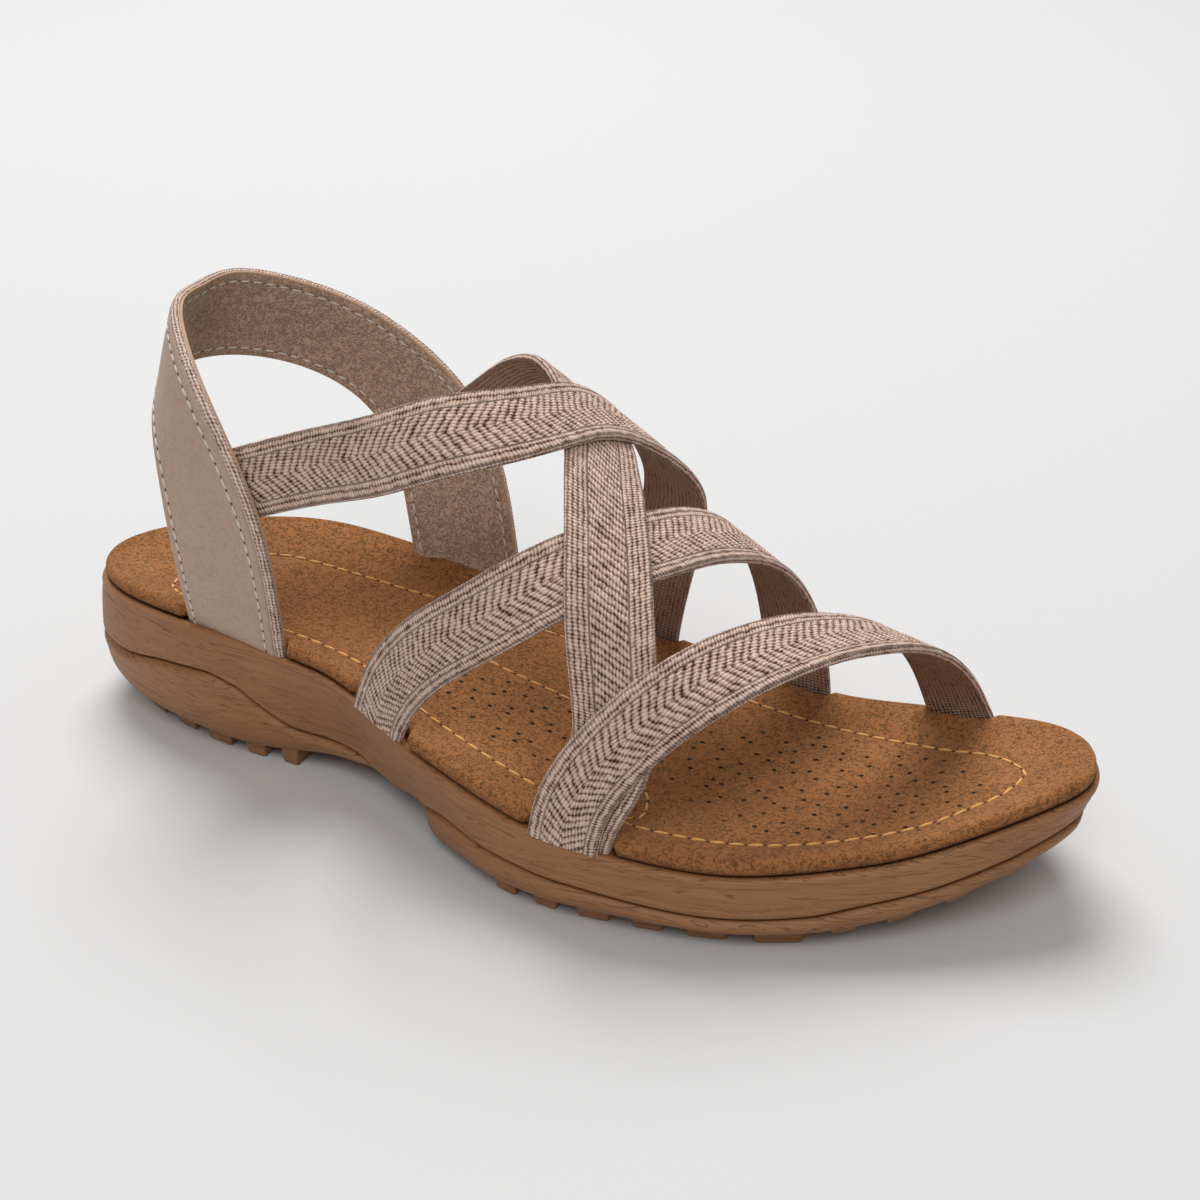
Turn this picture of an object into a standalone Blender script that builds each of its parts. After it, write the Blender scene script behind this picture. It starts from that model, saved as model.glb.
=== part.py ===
"""Cross strap sandal, right shoe, modelled in millimetres and scaled to metres.

While it is modelled, x runs from the back of the heel to the toe, y from the outer side (minus)
to the inner side (plus) and z up from the floor. PLACE then moves the origin to the middle of
the footprint.
"""
import math

import bmesh
import bpy
import numpy as np

MM = 0.001
HEEL_END = -3.0
TOE_END = 263.5
LENGTH = TOE_END - HEEL_END
PLACE = (-129.25, 7.9, 0.0)
GAP = 0.3

# plan of the sole's top edge: share of the length, half widths to the inner and outer side
OUTLINE = (
    # share, inner, outer
    (0.00, 45.0, 45.0),
    (0.15, 44.0, 38.5),
    (0.30, 38.0, 34.0),
    (0.45, 35.5, 48.0),
    (0.60, 36.5, 57.0),
    (0.72, 36.5, 57.5),
    (0.85, 45.0, 52.0),
    (1.00, 59.5, 35.0),
)

# heights along the sole: top edge of the midsole, and how deep the foot bed is dished
TOP = (
    # x, lip, dish
    (-3.0, 35.5, 0.5),
    (39.0, 38.0, 4.0),
    (79.0, 34.5, 3.0),
    (118.0, 28.0, 1.5),
    (157.0, 22.0, 2.0),
    (189.0, 19.5, 2.0),
    (223.0, 22.5, 1.5),
    (263.5, 33.5, 0.5),
)

# underside of the midsole: height and how far it lies inside the top edge
JOINT = (
    # x, height, inset
    (-3.0, 19.5, -2.0),
    (16.0, 21.5, -2.0),
    (30.0, 24.5, -2.0),
    (43.0, 25.5, -1.5),
    (52.0, 22.5, 0.5),
    (60.0, 16.5, 2.5),
    (68.0, 12.5, 4.0),
    (79.0, 11.5, 5.5),
    (88.0, 10.5, 6.0),
    (94.5, 8.0, 6.5),
    (101.0, 7.5, 6.5),
    (110.0, 10.5, 4.5),
    (122.0, 13.0, 2.0),
    (137.0, 12.5, -0.5),
    (157.0, 11.0, -1.0),
    (190.0, 9.0, -1.5),
    (210.0, 10.0, -1.5),
    (223.0, 13.0, -1.5),
    (236.0, 16.0, -1.5),
    (248.0, 20.0, -1.0),
    (263.5, 26.0, 2.0),
)

# underside of the two tread pieces, between their lugs
TREAD = (
    # x, height, inset
    (-3.0, 9.5, 4.5),
    (12.0, 4.5, 7.0),
    (26.0, 3.5, 6.5),
    (50.0, 3.5, 5.5),
    (62.0, 4.5, 6.0),
    (76.0, 6.5, 7.0),
    (88.0, 7.5, 7.0),
    (101.0, 6.0, 6.5),
    (112.0, 5.0, 5.0),
    (125.0, 4.0, 4.0),
    (138.0, 3.5, 3.5),
    (200.0, 3.5, 3.5),
    (212.0, 4.0, 3.5),
    (222.0, 5.5, 4.0),
    (233.0, 8.5, 4.0),
    (245.0, 12.5, 5.5),
    (263.5, 21.0, 9.0),
)
HEEL_PIECE = (HEEL_END, 93.0)
FORE_PIECE = (103.0, TOE_END)

# cross bars of the tread: from, to
HEEL_BARS = ((12.5, 21.0), (25.0, 33.0), (37.0, 46.0), (50.0, 57.0), (61.0, 67.0))
FORE_BARS = (
    (136.0, 143.0), (147.0, 154.0), (158.0, 167.0), (171.5, 179.5), (184.0, 194.0),
    (199.0, 210.0),
)
TOE_BARS = ((215.0, 221.0), (226.0, 232.0), (237.0, 243.0), (248.0, 253.0))
TOE_BAR_DEPTH = 1.5
BAR_INSET = 0.8
BAR_DRAFT = 0.7
BAR_ROOT = 1.6

# the last on which the straps lie: height above the lip, fullness and lean of each section
LAST = (
    # x, height, fullness, lean
    (40.0, 90.0, 2.7, -10.5),
    (80.0, 85.5, 2.6, -7.0),
    (110.0, 85.0, 2.6, -3.0),
    (140.0, 72.0, 2.5, 0.5),
    (170.0, 57.0, 2.5, -0.5),
    (200.0, 44.0, 2.25, -4.5),
    (235.0, 32.5, 1.9, -10.5),
    (250.0, 27.0, 1.8, -12.0),
)
LAST_INSET = 1.5
HEEL_SPREAD = 4.5

# each elastic strap: turn is 0 at the outer edge of the sole, 0.5 on top and 1 at the inner edge
STRAP_THICK = 2.2
STRAPS = {
    # name: (width, ((turn, x), ...), ((turn, lift above the last), ...))
    "instep": (18.0, ((0.14, 60.0), (0.27, 104.0), (0.40, 125.0), (0.50, 133.0), (0.60, 138.0),
                      (0.75, 148.0), (1.02, 137.5)),
               ((0.13, 0.0), (0.35, 3.0), (0.47, 3.6), (0.68, 3.6), (1.02, 0.0))),
    "diagonal": (19.5, ((-0.03, 156.0), (0.00, 157.5), (0.12, 168.0), (0.27, 162.0),
                        (0.42, 152.5), (0.60, 132.0), (0.84, 95.5), (0.89, 84.0)),
                 ((-0.04, -0.9), (0.12, 0.0), (0.20, 0.0), (0.29, 1.8), (0.68, 1.8),
                  (0.89, 3.8))),
    "middle": (18.0, ((-0.03, 95.5), (0.00, 100.5), (0.15, 130.5), (0.30, 149.0), (0.45, 162.0),
                      (0.60, 172.0), (1.00, 182.0), (1.03, 182.5)),
               ((-0.03, 0.0), (1.03, 0.0))),
    "toe": (17.0, ((-0.03, 155.5), (0.00, 156.5), (0.15, 170.5), (0.30, 184.5), (0.45, 197.0),
                   (0.60, 210.0), (0.80, 218.5), (1.00, 225.5), (1.03, 227.5)),
            ((-0.04, 0.9), (0.12, 1.8), (0.25, 1.8), (0.45, 0.0), (1.03, 0.0))),
}
SPANS = {"instep": (0.13, 1.02), "diagonal": (-0.03, 0.89), "middle": (-0.03, 1.03),
         "toe": (-0.03, 1.03)}

# one half of the heel strap, from behind the heel (share 0) down to the sole (share 1)
HEEL_STRAP_THICK = 3.2
HEEL_STRAP = (
    # share, front edge x, half width, z, rear edge x, half width, z
    (0.0, 33.5, 0.0, 119.0, 24.5, 0.0, 96.0),
    (0.2, 34.5, 11.5, 118.5, 27.5, 11.5, 95.0),
    (0.4, 42.0, 22.5, 113.5, 33.0, 23.5, 90.5),
    (0.6, 54.5, 32.5, 101.5, 39.0, 32.5, 81.5),
    (0.8, 68.5, 37.5, 74.5, 41.5, 35.0, 65.0),
    (1.0, 68.0, 31.5, 34.5, 38.5, 27.5, 37.5),
)
# how far its ends are moved: the inner one forwards and up, both to the inner side
HEEL_STRAP_SHIFT = (34.0, 3.0, 2.5)
HEEL_STRAP_END = 1.06

# edge of the foot bed, from its underside up: inset and height above the lip
INSOLE_EDGE = ((1.2, 0.3), (0.6, 1.8), (0.9, 3.3), (2.8, 4.4))

# wall of the midsole: share of the joint's inset, extra inset, share of the height
WALL = ((1.0, 0.0, 0.0), (0.75, -0.2, 0.3), (0.3, -0.5, 0.7))
LIP_BEVEL = 0.8

# wall of the tread pieces: share of the height and share of the inset that is left behind
TREAD_WALL = ((0.0, 0.0), (0.16, 0.55), (0.45, 0.9), (1.0, 1.0))

# pockets for the strap ends: gap on the inside, and the space cut away outside the strap, so that
# the pocket is open to the side
POCKET_GAP = 0.6
POCKET_OUT = 4.6

# sections along the sole, and shares of its width where a dished face gets more points
SECTIONS = 44
COLUMNS = (0.12, 0.32, 0.5, 0.68, 0.88)


def clear_scene():
    for item in list(bpy.data.objects):
        bpy.data.objects.remove(item, do_unlink=True)


def curve(table, column, x):
    """Smooth value of one column of a table at x, without overshoot between its rows."""
    xs = np.array([row[0] for row in table], float)
    ys = np.array([row[column] for row in table], float)
    step = np.diff(xs)
    slope = np.diff(ys) / step
    tangent = np.zeros(len(xs))
    tangent[0] = slope[0]
    tangent[-1] = slope[-1]
    for i in range(1, len(xs) - 1):
        if slope[i - 1] * slope[i] > 0.0:
            a = 2.0 * step[i] + step[i - 1]
            b = step[i] + 2.0 * step[i - 1]
            tangent[i] = (a + b) / (a / slope[i - 1] + b / slope[i])
    x = np.clip(x, xs[0], xs[-1])
    k = np.clip(np.searchsorted(xs, x) - 1, 0, len(xs) - 2)
    h = step[k]
    s = (x - xs[k]) / h
    return (ys[k] * (1 + 2 * s) * (1 - s) ** 2 + tangent[k] * h * s * (1 - s) ** 2
            + ys[k + 1] * s * s * (3 - 2 * s) + tangent[k + 1] * h * s * s * (s - 1))


def spline(xs, ys, x):
    """Natural cubic spline through the points (xs, ys)."""
    n = len(xs)
    h = np.diff(xs)
    system = np.eye(n)
    right = np.zeros(n)
    for i in range(1, n - 1):
        system[i, i - 1:i + 2] = (h[i - 1], 2.0 * (h[i - 1] + h[i]), h[i])
        right[i] = 6.0 * ((ys[i + 1] - ys[i]) / h[i] - (ys[i] - ys[i - 1]) / h[i - 1])
    bend = np.linalg.solve(system, right)
    k = np.clip(np.searchsorted(xs, x) - 1, 0, n - 2)
    a = (xs[k + 1] - x) / h[k]
    b = (x - xs[k]) / h[k]
    return (a * ys[k] + b * ys[k + 1]
            + ((a ** 3 - a) * bend[k] + (b ** 3 - b) * bend[k + 1]) * h[k] ** 2 / 6.0)


def side(x, column):
    """Half width of the sole's top edge at x, to the inner (1) or outer (2) side."""
    u = np.clip((x - HEEL_END) / LENGTH, 0.0, 1.0)
    return curve(OUTLINE, column, u) * 2.0 * np.sqrt(u * (1.0 - u))


def lip(x):
    return curve(TOP, 1, x)


def dish(x, y):
    """How far the foot bed lies below the lip at a point of the sole."""
    width = side(x, 1) + side(x, 2)
    across = np.clip((y + side(x, 2)) / np.maximum(width, 1.0), 0.0, 1.0)
    return curve(TOP, 2, x) * np.sin(math.pi * across) ** 0.8


def angle_at(x):
    return math.acos(1.0 - 2.0 * (x - HEEL_END) / LENGTH)


def stations(span):
    """Angles of the sole's shared sections inside a span of x, with both ends of the span."""
    ends = [angle_at(x) for x in (*HEEL_PIECE, *FORE_PIECE)]
    shared = [a for a in np.linspace(0.0, math.pi, SECTIONS + 1)
              if min(abs(a - end) for end in ends) > 0.02]
    first, last = (angle_at(x) for x in span)
    return np.array([a for a in sorted(shared + sorted(set(ends)))
                     if first - 1e-9 <= a <= last + 1e-9])


def edge_lines(span, inset):
    """Points of the outer and the inner edge over a span of x, moved inwards by inset(x)."""
    angle = stations(span)
    lines = []
    for column, sign in ((2, -1.0), (1, 1.0)):
        def point(a):
            u = (1.0 - np.cos(a)) / 2.0
            return HEEL_END + LENGTH * u, sign * curve(OUTLINE, column, u) * np.sin(a)
        x, y = point(angle)
        x0, y0 = point(angle - 0.01)
        x1, y1 = point(angle + 0.01)
        along = np.stack([x1 - x0, y1 - y0], 1)
        along /= np.linalg.norm(along, axis=1)[:, None]
        inward = np.stack([sign * along[:, 1], -sign * along[:, 0]], 1)
        flat = np.stack([x, y], 1) + inward * inset(x)[:, None]
        for end, value in ((0, HEEL_END), (-1, TOE_END)):
            if abs(x[end] - value) < 1e-6:
                flat[end, 1] = 0.0
            else:
                flat[end, 0] = x[end]
        lines.append(flat)
    return lines


def sole_body(span, rings, top, bottom, top_columns=(), bottom_columns=()):
    """Closed body of the sole from rings of (inset, height), the lowest first, as functions."""
    bm = bmesh.new()
    loops = []
    pairs = []
    for inset, height in rings:
        outer, inner = edge_lines(span, inset)
        lower = [bm.verts.new((p[0], p[1], float(height(p[0], p[1])))) for p in outer]
        upper = []
        for i, p in enumerate(inner):
            if np.linalg.norm(p - outer[i]) < 1e-6:
                upper.append(lower[i])
            else:
                upper.append(bm.verts.new((p[0], p[1], float(height(p[0], p[1])))))
        back = [v for i, v in enumerate(upper) if v is not lower[i]][::-1]
        loops.append(lower + back)
        pairs.append((lower, upper))
    for under, over in zip(loops, loops[1:]):
        for i in range(len(under)):
            j = (i + 1) % len(under)
            bm.faces.new((under[i], under[j], over[j], over[i]))
    for (lower, upper), height, columns, flip in (
            (pairs[-1], top, top_columns, False), (pairs[0], bottom, bottom_columns, True)):
        rungs = []
        for a, b in zip(lower, upper):
            if a is b:
                rungs.append([a])
                continue
            rung = [a]
            for share in columns:
                x = a.co.x + (b.co.x - a.co.x) * share
                y = a.co.y + (b.co.y - a.co.y) * share
                rung.append(bm.verts.new((x, y, float(height(x, y)))))
            rungs.append(rung + [b])
        for near, far in zip(rungs, rungs[1:]):
            cap_strip(bm, near, far, flip)
    return bm


def cap_strip(bm, near, far, flip):
    """Faces between two rungs of a cap; a rung of one vertex closes as a fan."""
    if len(near) == 1:
        faces = [(near[0], far[i], far[i + 1]) for i in range(len(far) - 1)]
    elif len(far) == 1:
        faces = [(near[i], far[0], near[i + 1]) for i in range(len(near) - 1)]
    else:
        faces = [(near[i], far[i], far[i + 1], near[i + 1]) for i in range(len(near) - 1)]
    for face in faces:
        bm.faces.new(face[::-1] if flip else face)


def finish_mesh(bm, name):
    bmesh.ops.recalc_face_normals(bm, faces=bm.faces[:])
    for vert in bm.verts:
        vert.co = [(vert.co[i] + PLACE[i]) * MM for i in range(3)]
    mesh = bpy.data.meshes.new(name)
    bm.to_mesh(mesh)
    bm.free()
    return bpy.data.objects.new(name, mesh)


def bar(x0, x1, floor):
    """One cross bar of the tread, almost as wide as the sole there, down to the height floor."""
    inset = float(curve(TREAD, 2, (x0 + x1) / 2.0)) + BAR_INSET
    bm = bmesh.new()
    low = []
    high = []
    for x, draft, column, sign in ((x0, 1.0, 2, -1.0), (x1, -1.0, 2, -1.0),
                                   (x1, -1.0, 1, 1.0), (x0, 1.0, 1, 1.0)):
        y = sign * (side(x, column) - inset)
        low.append(bm.verts.new((x + draft * BAR_DRAFT, y - sign * BAR_DRAFT, floor(x))))
        high.append(bm.verts.new((x, y, curve(TREAD, 1, x) + BAR_ROOT)))
    bm.faces.new(low[::-1])
    bm.faces.new(high)
    for i in range(4):
        j = (i + 1) % 4
        bm.faces.new((low[i], low[j], high[j], high[i]))
    return bm


def last_point(x, turn):
    """Point of the last: turn 0 is the outer edge, 0.5 the top and 1 the inner edge."""
    x = np.clip(x, LAST[0][0], LAST[-1][0])
    outer = -side(x, 2) + LAST_INSET - np.clip((110.0 - x) / 50.0, 0.0, 1.0) * HEEL_SPREAD
    inner = side(x, 1) - LAST_INSET + np.clip((125.0 - x) / 50.0, 0.0, 1.0) * HEEL_SPREAD
    power = 2.0 / curve(LAST, 2, x)
    c = np.cos(math.pi * turn)
    s = np.sin(math.pi * turn)
    y = ((outer + inner) / 2.0 - (inner - outer) / 2.0 * np.sign(c) * np.abs(c) ** power
         + curve(LAST, 3, x) * s * s)
    z = lip(x) + curve(LAST, 1, x) * np.sign(s) * np.abs(s) ** power
    return np.stack([x, y, z], -1)


def last_frame(x, turn):
    """Directions on the last along x and turn, and the outward normal."""
    e = 0.5
    h = 0.004
    along_x = (last_point(x + e, turn) - last_point(x - e, turn)) / (2.0 * e)
    along_t = (last_point(x, turn + h) - last_point(x, turn - h)) / (2.0 * h)
    normal = np.cross(along_x, along_t)
    normal /= np.linalg.norm(normal, axis=-1)[..., None]
    centre = np.stack([x, 0 * x - 5.0, 0 * x + 40.0], -1)
    facing = np.sign(((last_point(x, turn) - centre) * normal).sum(-1))
    return along_x, along_t, normal * facing[..., None]


def strap_points(name, turns, shares, grow=0.0, out=0.0):
    """Points of a strap's middle surface: rows along the strap, columns across it."""
    width, path, lifts = STRAPS[name]
    x = curve(path, 1, turns)
    along_x, along_t, normal = last_frame(x, turns)
    step = 0.002
    ahead = last_point(curve(path, 1, turns + step), turns + step)
    behind = last_point(curve(path, 1, turns - step), turns - step)
    run = ahead - behind
    run /= np.linalg.norm(run, axis=1)[:, None]
    across = np.cross(normal, run)
    across *= np.sign(np.median(across[:, 0]))
    a = (along_x * along_x).sum(1)
    b = (along_x * along_t).sum(1)
    c = (along_t * along_t).sum(1)
    u = (across * along_x).sum(1)
    v = (across * along_t).sum(1)
    det = a * c - b * b
    to_x = (c * u - b * v) / det
    to_turn = (a * v - b * u) / det
    rows = []
    for share in shares:
        away = share * (width + 2.0 * grow)
        xs = x + away * to_x
        ts = turns + away * to_turn
        _, _, normal = last_frame(xs, ts)
        lift = curve(lifts, 1, ts) + out
        rows.append(last_point(xs, ts) + normal * lift[:, None])
    return np.stack(rows, 1)


def heel_strap_edge(column, turns):
    """One edge of the heel strap; turn runs from -1 at the outer end to 1 at the inner end."""
    shares = np.array([row[0] for row in HEEL_STRAP])
    knots = np.concatenate([-shares[:0:-1], shares])
    x, half_width, z = (np.array([row[column + k] for row in HEEL_STRAP]) for k in range(3))
    inner = np.where(turns > 0.0, turns ** 2, 0.0)
    shift_x, shift_y, shift_z = HEEL_STRAP_SHIFT
    return np.stack([
        spline(knots, np.concatenate([x[:0:-1], x]), turns) + shift_x * inner,
        spline(knots, np.concatenate([-half_width[:0:-1], half_width]), turns)
        + shift_y * turns ** 2,
        spline(knots, np.concatenate([z[:0:-1], z]), turns) + shift_z * inner], 1)


def heel_strap_points(turns, shares, grow=0.0, out=0.0):
    """Points of the heel strap's middle surface, from the rear edge to the front edge."""
    front = heel_strap_edge(1, turns)
    rear = heel_strap_edge(4, turns)
    across = front - rear
    length = np.linalg.norm(across, axis=1)[:, None]
    across /= length
    run = np.gradient(front + rear, axis=0)
    normal = np.cross(run, across)
    normal /= np.linalg.norm(normal, axis=1)[:, None]
    middle = (front + rear) / 2.0
    away = middle - np.array([50.0, 0.0, 70.0])
    normal *= np.sign((normal[:, :2] * away[:, :2]).sum(1))[:, None]
    rows = []
    for share in shares:
        rows.append(middle + across * share * (length + 2.0 * grow) + normal * out)
    return np.stack(rows, 1)


def sheet(points, name, thick):
    """Open surface through a grid of points, given its thickness by Solidify."""
    rows, columns, _ = points.shape
    bm = bmesh.new()
    verts = [[bm.verts.new(points[i, j]) for j in range(columns)] for i in range(rows)]
    for i in range(rows - 1):
        for j in range(columns - 1):
            bm.faces.new((verts[i][j], verts[i + 1][j], verts[i + 1][j + 1], verts[i][j + 1]))
    item = finish_mesh(bm, name)
    solid = item.modifiers.new("Thickness", "SOLIDIFY")
    solid.thickness = thick * MM
    solid.offset = 0.0
    solid.use_even_offset = True
    return item


def boolean(item, operation, other):
    step = item.modifiers.new(operation.title() + " " + other.name, "BOOLEAN")
    step.operation = operation
    step.solver = "EXACT"
    step.object = other


def material(name, colour, roughness):
    mat = bpy.data.materials.new(name)
    mat.use_nodes = True
    shader = mat.node_tree.nodes["Principled BSDF"]
    shader.inputs["Base Color"].default_value = (*colour, 1.0)
    shader.inputs["Roughness"].default_value = roughness
    return mat


def constant(value):
    return lambda x: np.full(np.shape(x), float(value))


def above_lip(height):
    return lambda x, y: lip(x) + height


def midsole_body():
    def wall(share):
        return lambda x, y: curve(JOINT, 1, x) + share * (lip(x) - curve(JOINT, 1, x))

    def inset(share, extra):
        return lambda x: curve(JOINT, 2, x) * share + extra

    rings = [(inset(left, extra), wall(share)) for left, extra, share in WALL]
    rings += [(constant(0.0), above_lip(-LIP_BEVEL)), (constant(LIP_BEVEL), above_lip(0.0))]
    return sole_body((HEEL_END, TOE_END), rings, lambda x, y: lip(x) - dish(x, y), wall(0.0),
                     COLUMNS)


def tread_body(span):
    def height(share):
        return lambda x, y: (curve(TREAD, 1, x)
                             + share * (curve(JOINT, 1, x) - GAP - curve(TREAD, 1, x)))

    def inset(share):
        return lambda x: curve(TREAD, 2, x) * (1 - share) + (curve(JOINT, 2, x) + 0.1) * share

    rings = [(inset(in_share), height(up)) for up, in_share in TREAD_WALL]
    return sole_body(span, rings, height(1.0), height(0.0))


def insole_body():
    rings = [(constant(inset), above_lip(height)) for inset, height in INSOLE_EDGE]
    thick = INSOLE_EDGE[-1][1]
    return sole_body((HEEL_END, TOE_END), rings, lambda x, y: lip(x) + thick - dish(x, y),
                     lambda x, y: lip(x) + GAP - dish(x, y), COLUMNS, COLUMNS)


def sole_block_body():
    """Everything below the foot bed: it trims the strap ends just above the midsole."""
    wide = constant(-8.0)
    floor = -5.0
    return sole_body((HEEL_END, TOE_END), ((wide, lambda x, y: floor), (wide, above_lip(GAP))),
                     above_lip(GAP), lambda x, y: floor)


def build():
    clear_scene()
    parts = bpy.data.collections.new("cross_strap_sandal")
    cutters = bpy.data.collections.new("cutters")
    bpy.context.scene.collection.children.link(parts)
    bpy.context.scene.collection.children.link(cutters)

    def keep(item, mat):
        item.data.materials.append(mat)
        parts.objects.link(item)
        return item

    def cutter(item):
        cutters.objects.link(item)
        item.hide_render = True
        item.display_type = "WIRE"
        return item

    gum = material("gum rubber", (0.26, 0.14, 0.07), 0.6)
    suede = material("suede", (0.30, 0.15, 0.06), 0.9)
    leather = material("leather", (0.33, 0.24, 0.18), 0.5)
    elastic = material("elastic webbing", (0.40, 0.26, 0.22), 0.85)

    keep(finish_mesh(midsole_body(), "midsole"), gum)

    def toe_floor(x):
        return curve(TREAD, 1, x) - TOE_BAR_DEPTH

    bars = {
        "outsole_heel": [(x0, x1, lambda x: 0.0) for x0, x1 in HEEL_BARS],
        "outsole_forefoot": [(x0, x1, lambda x: 0.0) for x0, x1 in FORE_BARS]
        + [(x0, x1, toe_floor) for x0, x1 in TOE_BARS],
    }
    for label, span in (("outsole_heel", HEEL_PIECE), ("outsole_forefoot", FORE_PIECE)):
        piece = keep(finish_mesh(tread_body(span), label), gum)
        for number, lug in enumerate(bars[label]):
            boolean(piece, "UNION", cutter(finish_mesh(bar(*lug), f"{label} bar {number}")))

    insole = keep(finish_mesh(insole_body(), "insole"), suede)
    sole_block = cutter(finish_mesh(sole_block_body(), "sole block"))

    # the heel strap, and the room it needs beside the elastic straps
    across = np.linspace(-0.5, 0.5, 4)
    turns = np.linspace(-HEEL_STRAP_END, HEEL_STRAP_END, 49)
    heel_strap = keep(sheet(heel_strap_points(turns, across), "heel_strap", HEEL_STRAP_THICK),
                      leather)
    boolean(heel_strap, "DIFFERENCE", sole_block)
    heel_room = cutter(sheet(heel_strap_points(turns, across, GAP), "heel strap room",
                             HEEL_STRAP_THICK + 2.0 * GAP))

    # elastic straps, joined where they cross
    bands = {}
    for name, (first, final) in SPANS.items():
        label = "cross_straps" if name == "instep" else name + " strap"
        points = strap_points(name, np.linspace(first, final, 33), across)
        bands[name] = sheet(points, label, STRAP_THICK)
    web = keep(bands["instep"], elastic)
    for name in ("diagonal", "middle", "toe"):
        boolean(web, "UNION", cutter(bands[name]))
    boolean(web, "DIFFERENCE", sole_block)
    boolean(web, "DIFFERENCE", heel_room)

    # pockets at the edge of the foot bed where the strap ends go down
    extra = 2.0 * POCKET_GAP + POCKET_OUT
    for name, first, final in (("instep", 0.93, 1.02), ("diagonal", -0.03, 0.07),
                               ("middle", -0.03, 0.07), ("middle", 0.93, 1.03),
                               ("toe", -0.03, 0.07), ("toe", 0.93, 1.03)):
        points = strap_points(name, np.linspace(first, final, 7), across, GAP, POCKET_OUT / 2.0)
        pocket = sheet(points, f"{name} pocket {final}", STRAP_THICK + extra)
        boolean(insole, "DIFFERENCE", cutter(pocket))
    points = heel_strap_points(turns, across, GAP, POCKET_OUT / 2.0)
    for end, rows in (("outer", slice(0, 5)), ("inner", slice(-5, None))):
        pocket = sheet(points[rows], f"heel pocket {end}", HEEL_STRAP_THICK + extra)
        boolean(insole, "DIFFERENCE", cutter(pocket))


build()
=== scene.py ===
# %% [markdown]
# # Cross strap sandal
# A right sandal: a gum rubber sole, a padded suede foot bed, four knitted elastic straps that
# cross over the foot, and a leather strap that loops behind the heel. The driving sizes are
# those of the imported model. Here each piece gets its surface: the same shape functions, drawn
# finer.

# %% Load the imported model
import math

import bmesh
import bpy
import numpy as np
from mathutils import Matrix, Vector


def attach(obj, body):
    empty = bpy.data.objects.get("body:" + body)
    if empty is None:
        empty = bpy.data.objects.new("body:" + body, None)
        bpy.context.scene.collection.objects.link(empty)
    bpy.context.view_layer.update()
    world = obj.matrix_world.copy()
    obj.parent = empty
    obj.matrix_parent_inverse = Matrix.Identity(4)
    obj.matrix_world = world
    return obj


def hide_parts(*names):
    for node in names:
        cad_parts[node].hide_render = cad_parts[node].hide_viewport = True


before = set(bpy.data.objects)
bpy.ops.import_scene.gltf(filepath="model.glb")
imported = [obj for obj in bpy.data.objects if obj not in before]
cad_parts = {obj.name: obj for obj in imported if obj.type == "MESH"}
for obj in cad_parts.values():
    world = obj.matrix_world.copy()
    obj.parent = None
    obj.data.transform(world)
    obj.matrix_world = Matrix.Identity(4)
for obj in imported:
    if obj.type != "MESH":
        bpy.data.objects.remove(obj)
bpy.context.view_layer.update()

# %% [markdown]
# ## Sizes
# A shoe is drawn from a few lines along its length. Each table below gives such a line by a
# short row of points in millimetres, x from the heel to the toe, and a smooth curve runs
# through them. They are the design's own driving sizes, so the visible pieces land where the
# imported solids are.

# %% Sizes of the sole
MM = 0.001
HEEL_END = -3.0
TOE_END = 263.5
LENGTH = TOE_END - HEEL_END
PLACE = (-129.25, 7.9, 0.0)

OUTLINE = (
    # share of the length, half width to the inner and to the outer side
    (0.00, 45.0, 45.0), (0.15, 44.0, 38.5), (0.30, 38.0, 34.0), (0.45, 35.5, 48.0),
    (0.60, 36.5, 57.0), (0.72, 36.5, 57.5), (0.85, 45.0, 52.0), (1.00, 59.5, 35.0),
)
TOP = (
    # x, top edge of the sole, depth of the foot bed's dish
    (-3.0, 35.5, 0.5), (39.0, 38.0, 4.0), (79.0, 34.5, 3.0), (118.0, 28.0, 1.5),
    (157.0, 22.0, 2.0), (189.0, 19.5, 2.0), (223.0, 22.5, 1.5), (263.5, 33.5, 0.5),
)
JOINT = (
    # x, height of the line between the two parts of the sole, and how far it lies inside
    (-3.0, 19.5, -2.0), (16.0, 21.5, -2.0), (30.0, 24.5, -2.0), (43.0, 25.5, -1.5),
    (52.0, 22.5, 0.5), (60.0, 16.5, 2.5), (68.0, 12.5, 4.0), (79.0, 11.5, 5.5),
    (88.0, 10.5, 6.0), (94.5, 8.0, 6.5), (101.0, 7.5, 6.5), (110.0, 10.5, 4.5),
    (122.0, 13.0, 2.0), (137.0, 12.5, -0.5), (157.0, 11.0, -1.0), (190.0, 9.0, -1.5),
    (210.0, 10.0, -1.5), (223.0, 13.0, -1.5), (236.0, 16.0, -1.5), (248.0, 20.0, -1.0),
    (263.5, 26.0, 2.0),
)
TREAD = (
    # x, underside between the lugs, and how far it lies inside
    (-3.0, 9.5, 4.5), (12.0, 4.5, 7.0), (26.0, 3.5, 6.5), (50.0, 3.5, 5.5), (62.0, 4.5, 6.0),
    (76.0, 6.5, 7.0), (88.0, 7.5, 7.0), (101.0, 6.0, 6.5), (112.0, 5.0, 5.0), (125.0, 4.0, 4.0),
    (138.0, 3.5, 3.5), (200.0, 3.5, 3.5), (212.0, 4.0, 3.5), (222.0, 5.5, 4.0),
    (233.0, 8.5, 4.0), (245.0, 12.5, 5.5), (263.5, 21.0, 9.0),
)
HEEL_PIECE_END = 93.0
FORE_PIECE_START = 103.0
HEEL_BARS = ((12.5, 21.0), (25.0, 33.0), (37.0, 46.0), (50.0, 57.0), (61.0, 67.0))
FORE_BARS = ((136.0, 143.0), (147.0, 154.0), (158.0, 167.0), (171.5, 179.5), (184.0, 194.0),
             (199.0, 210.0))
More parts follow.
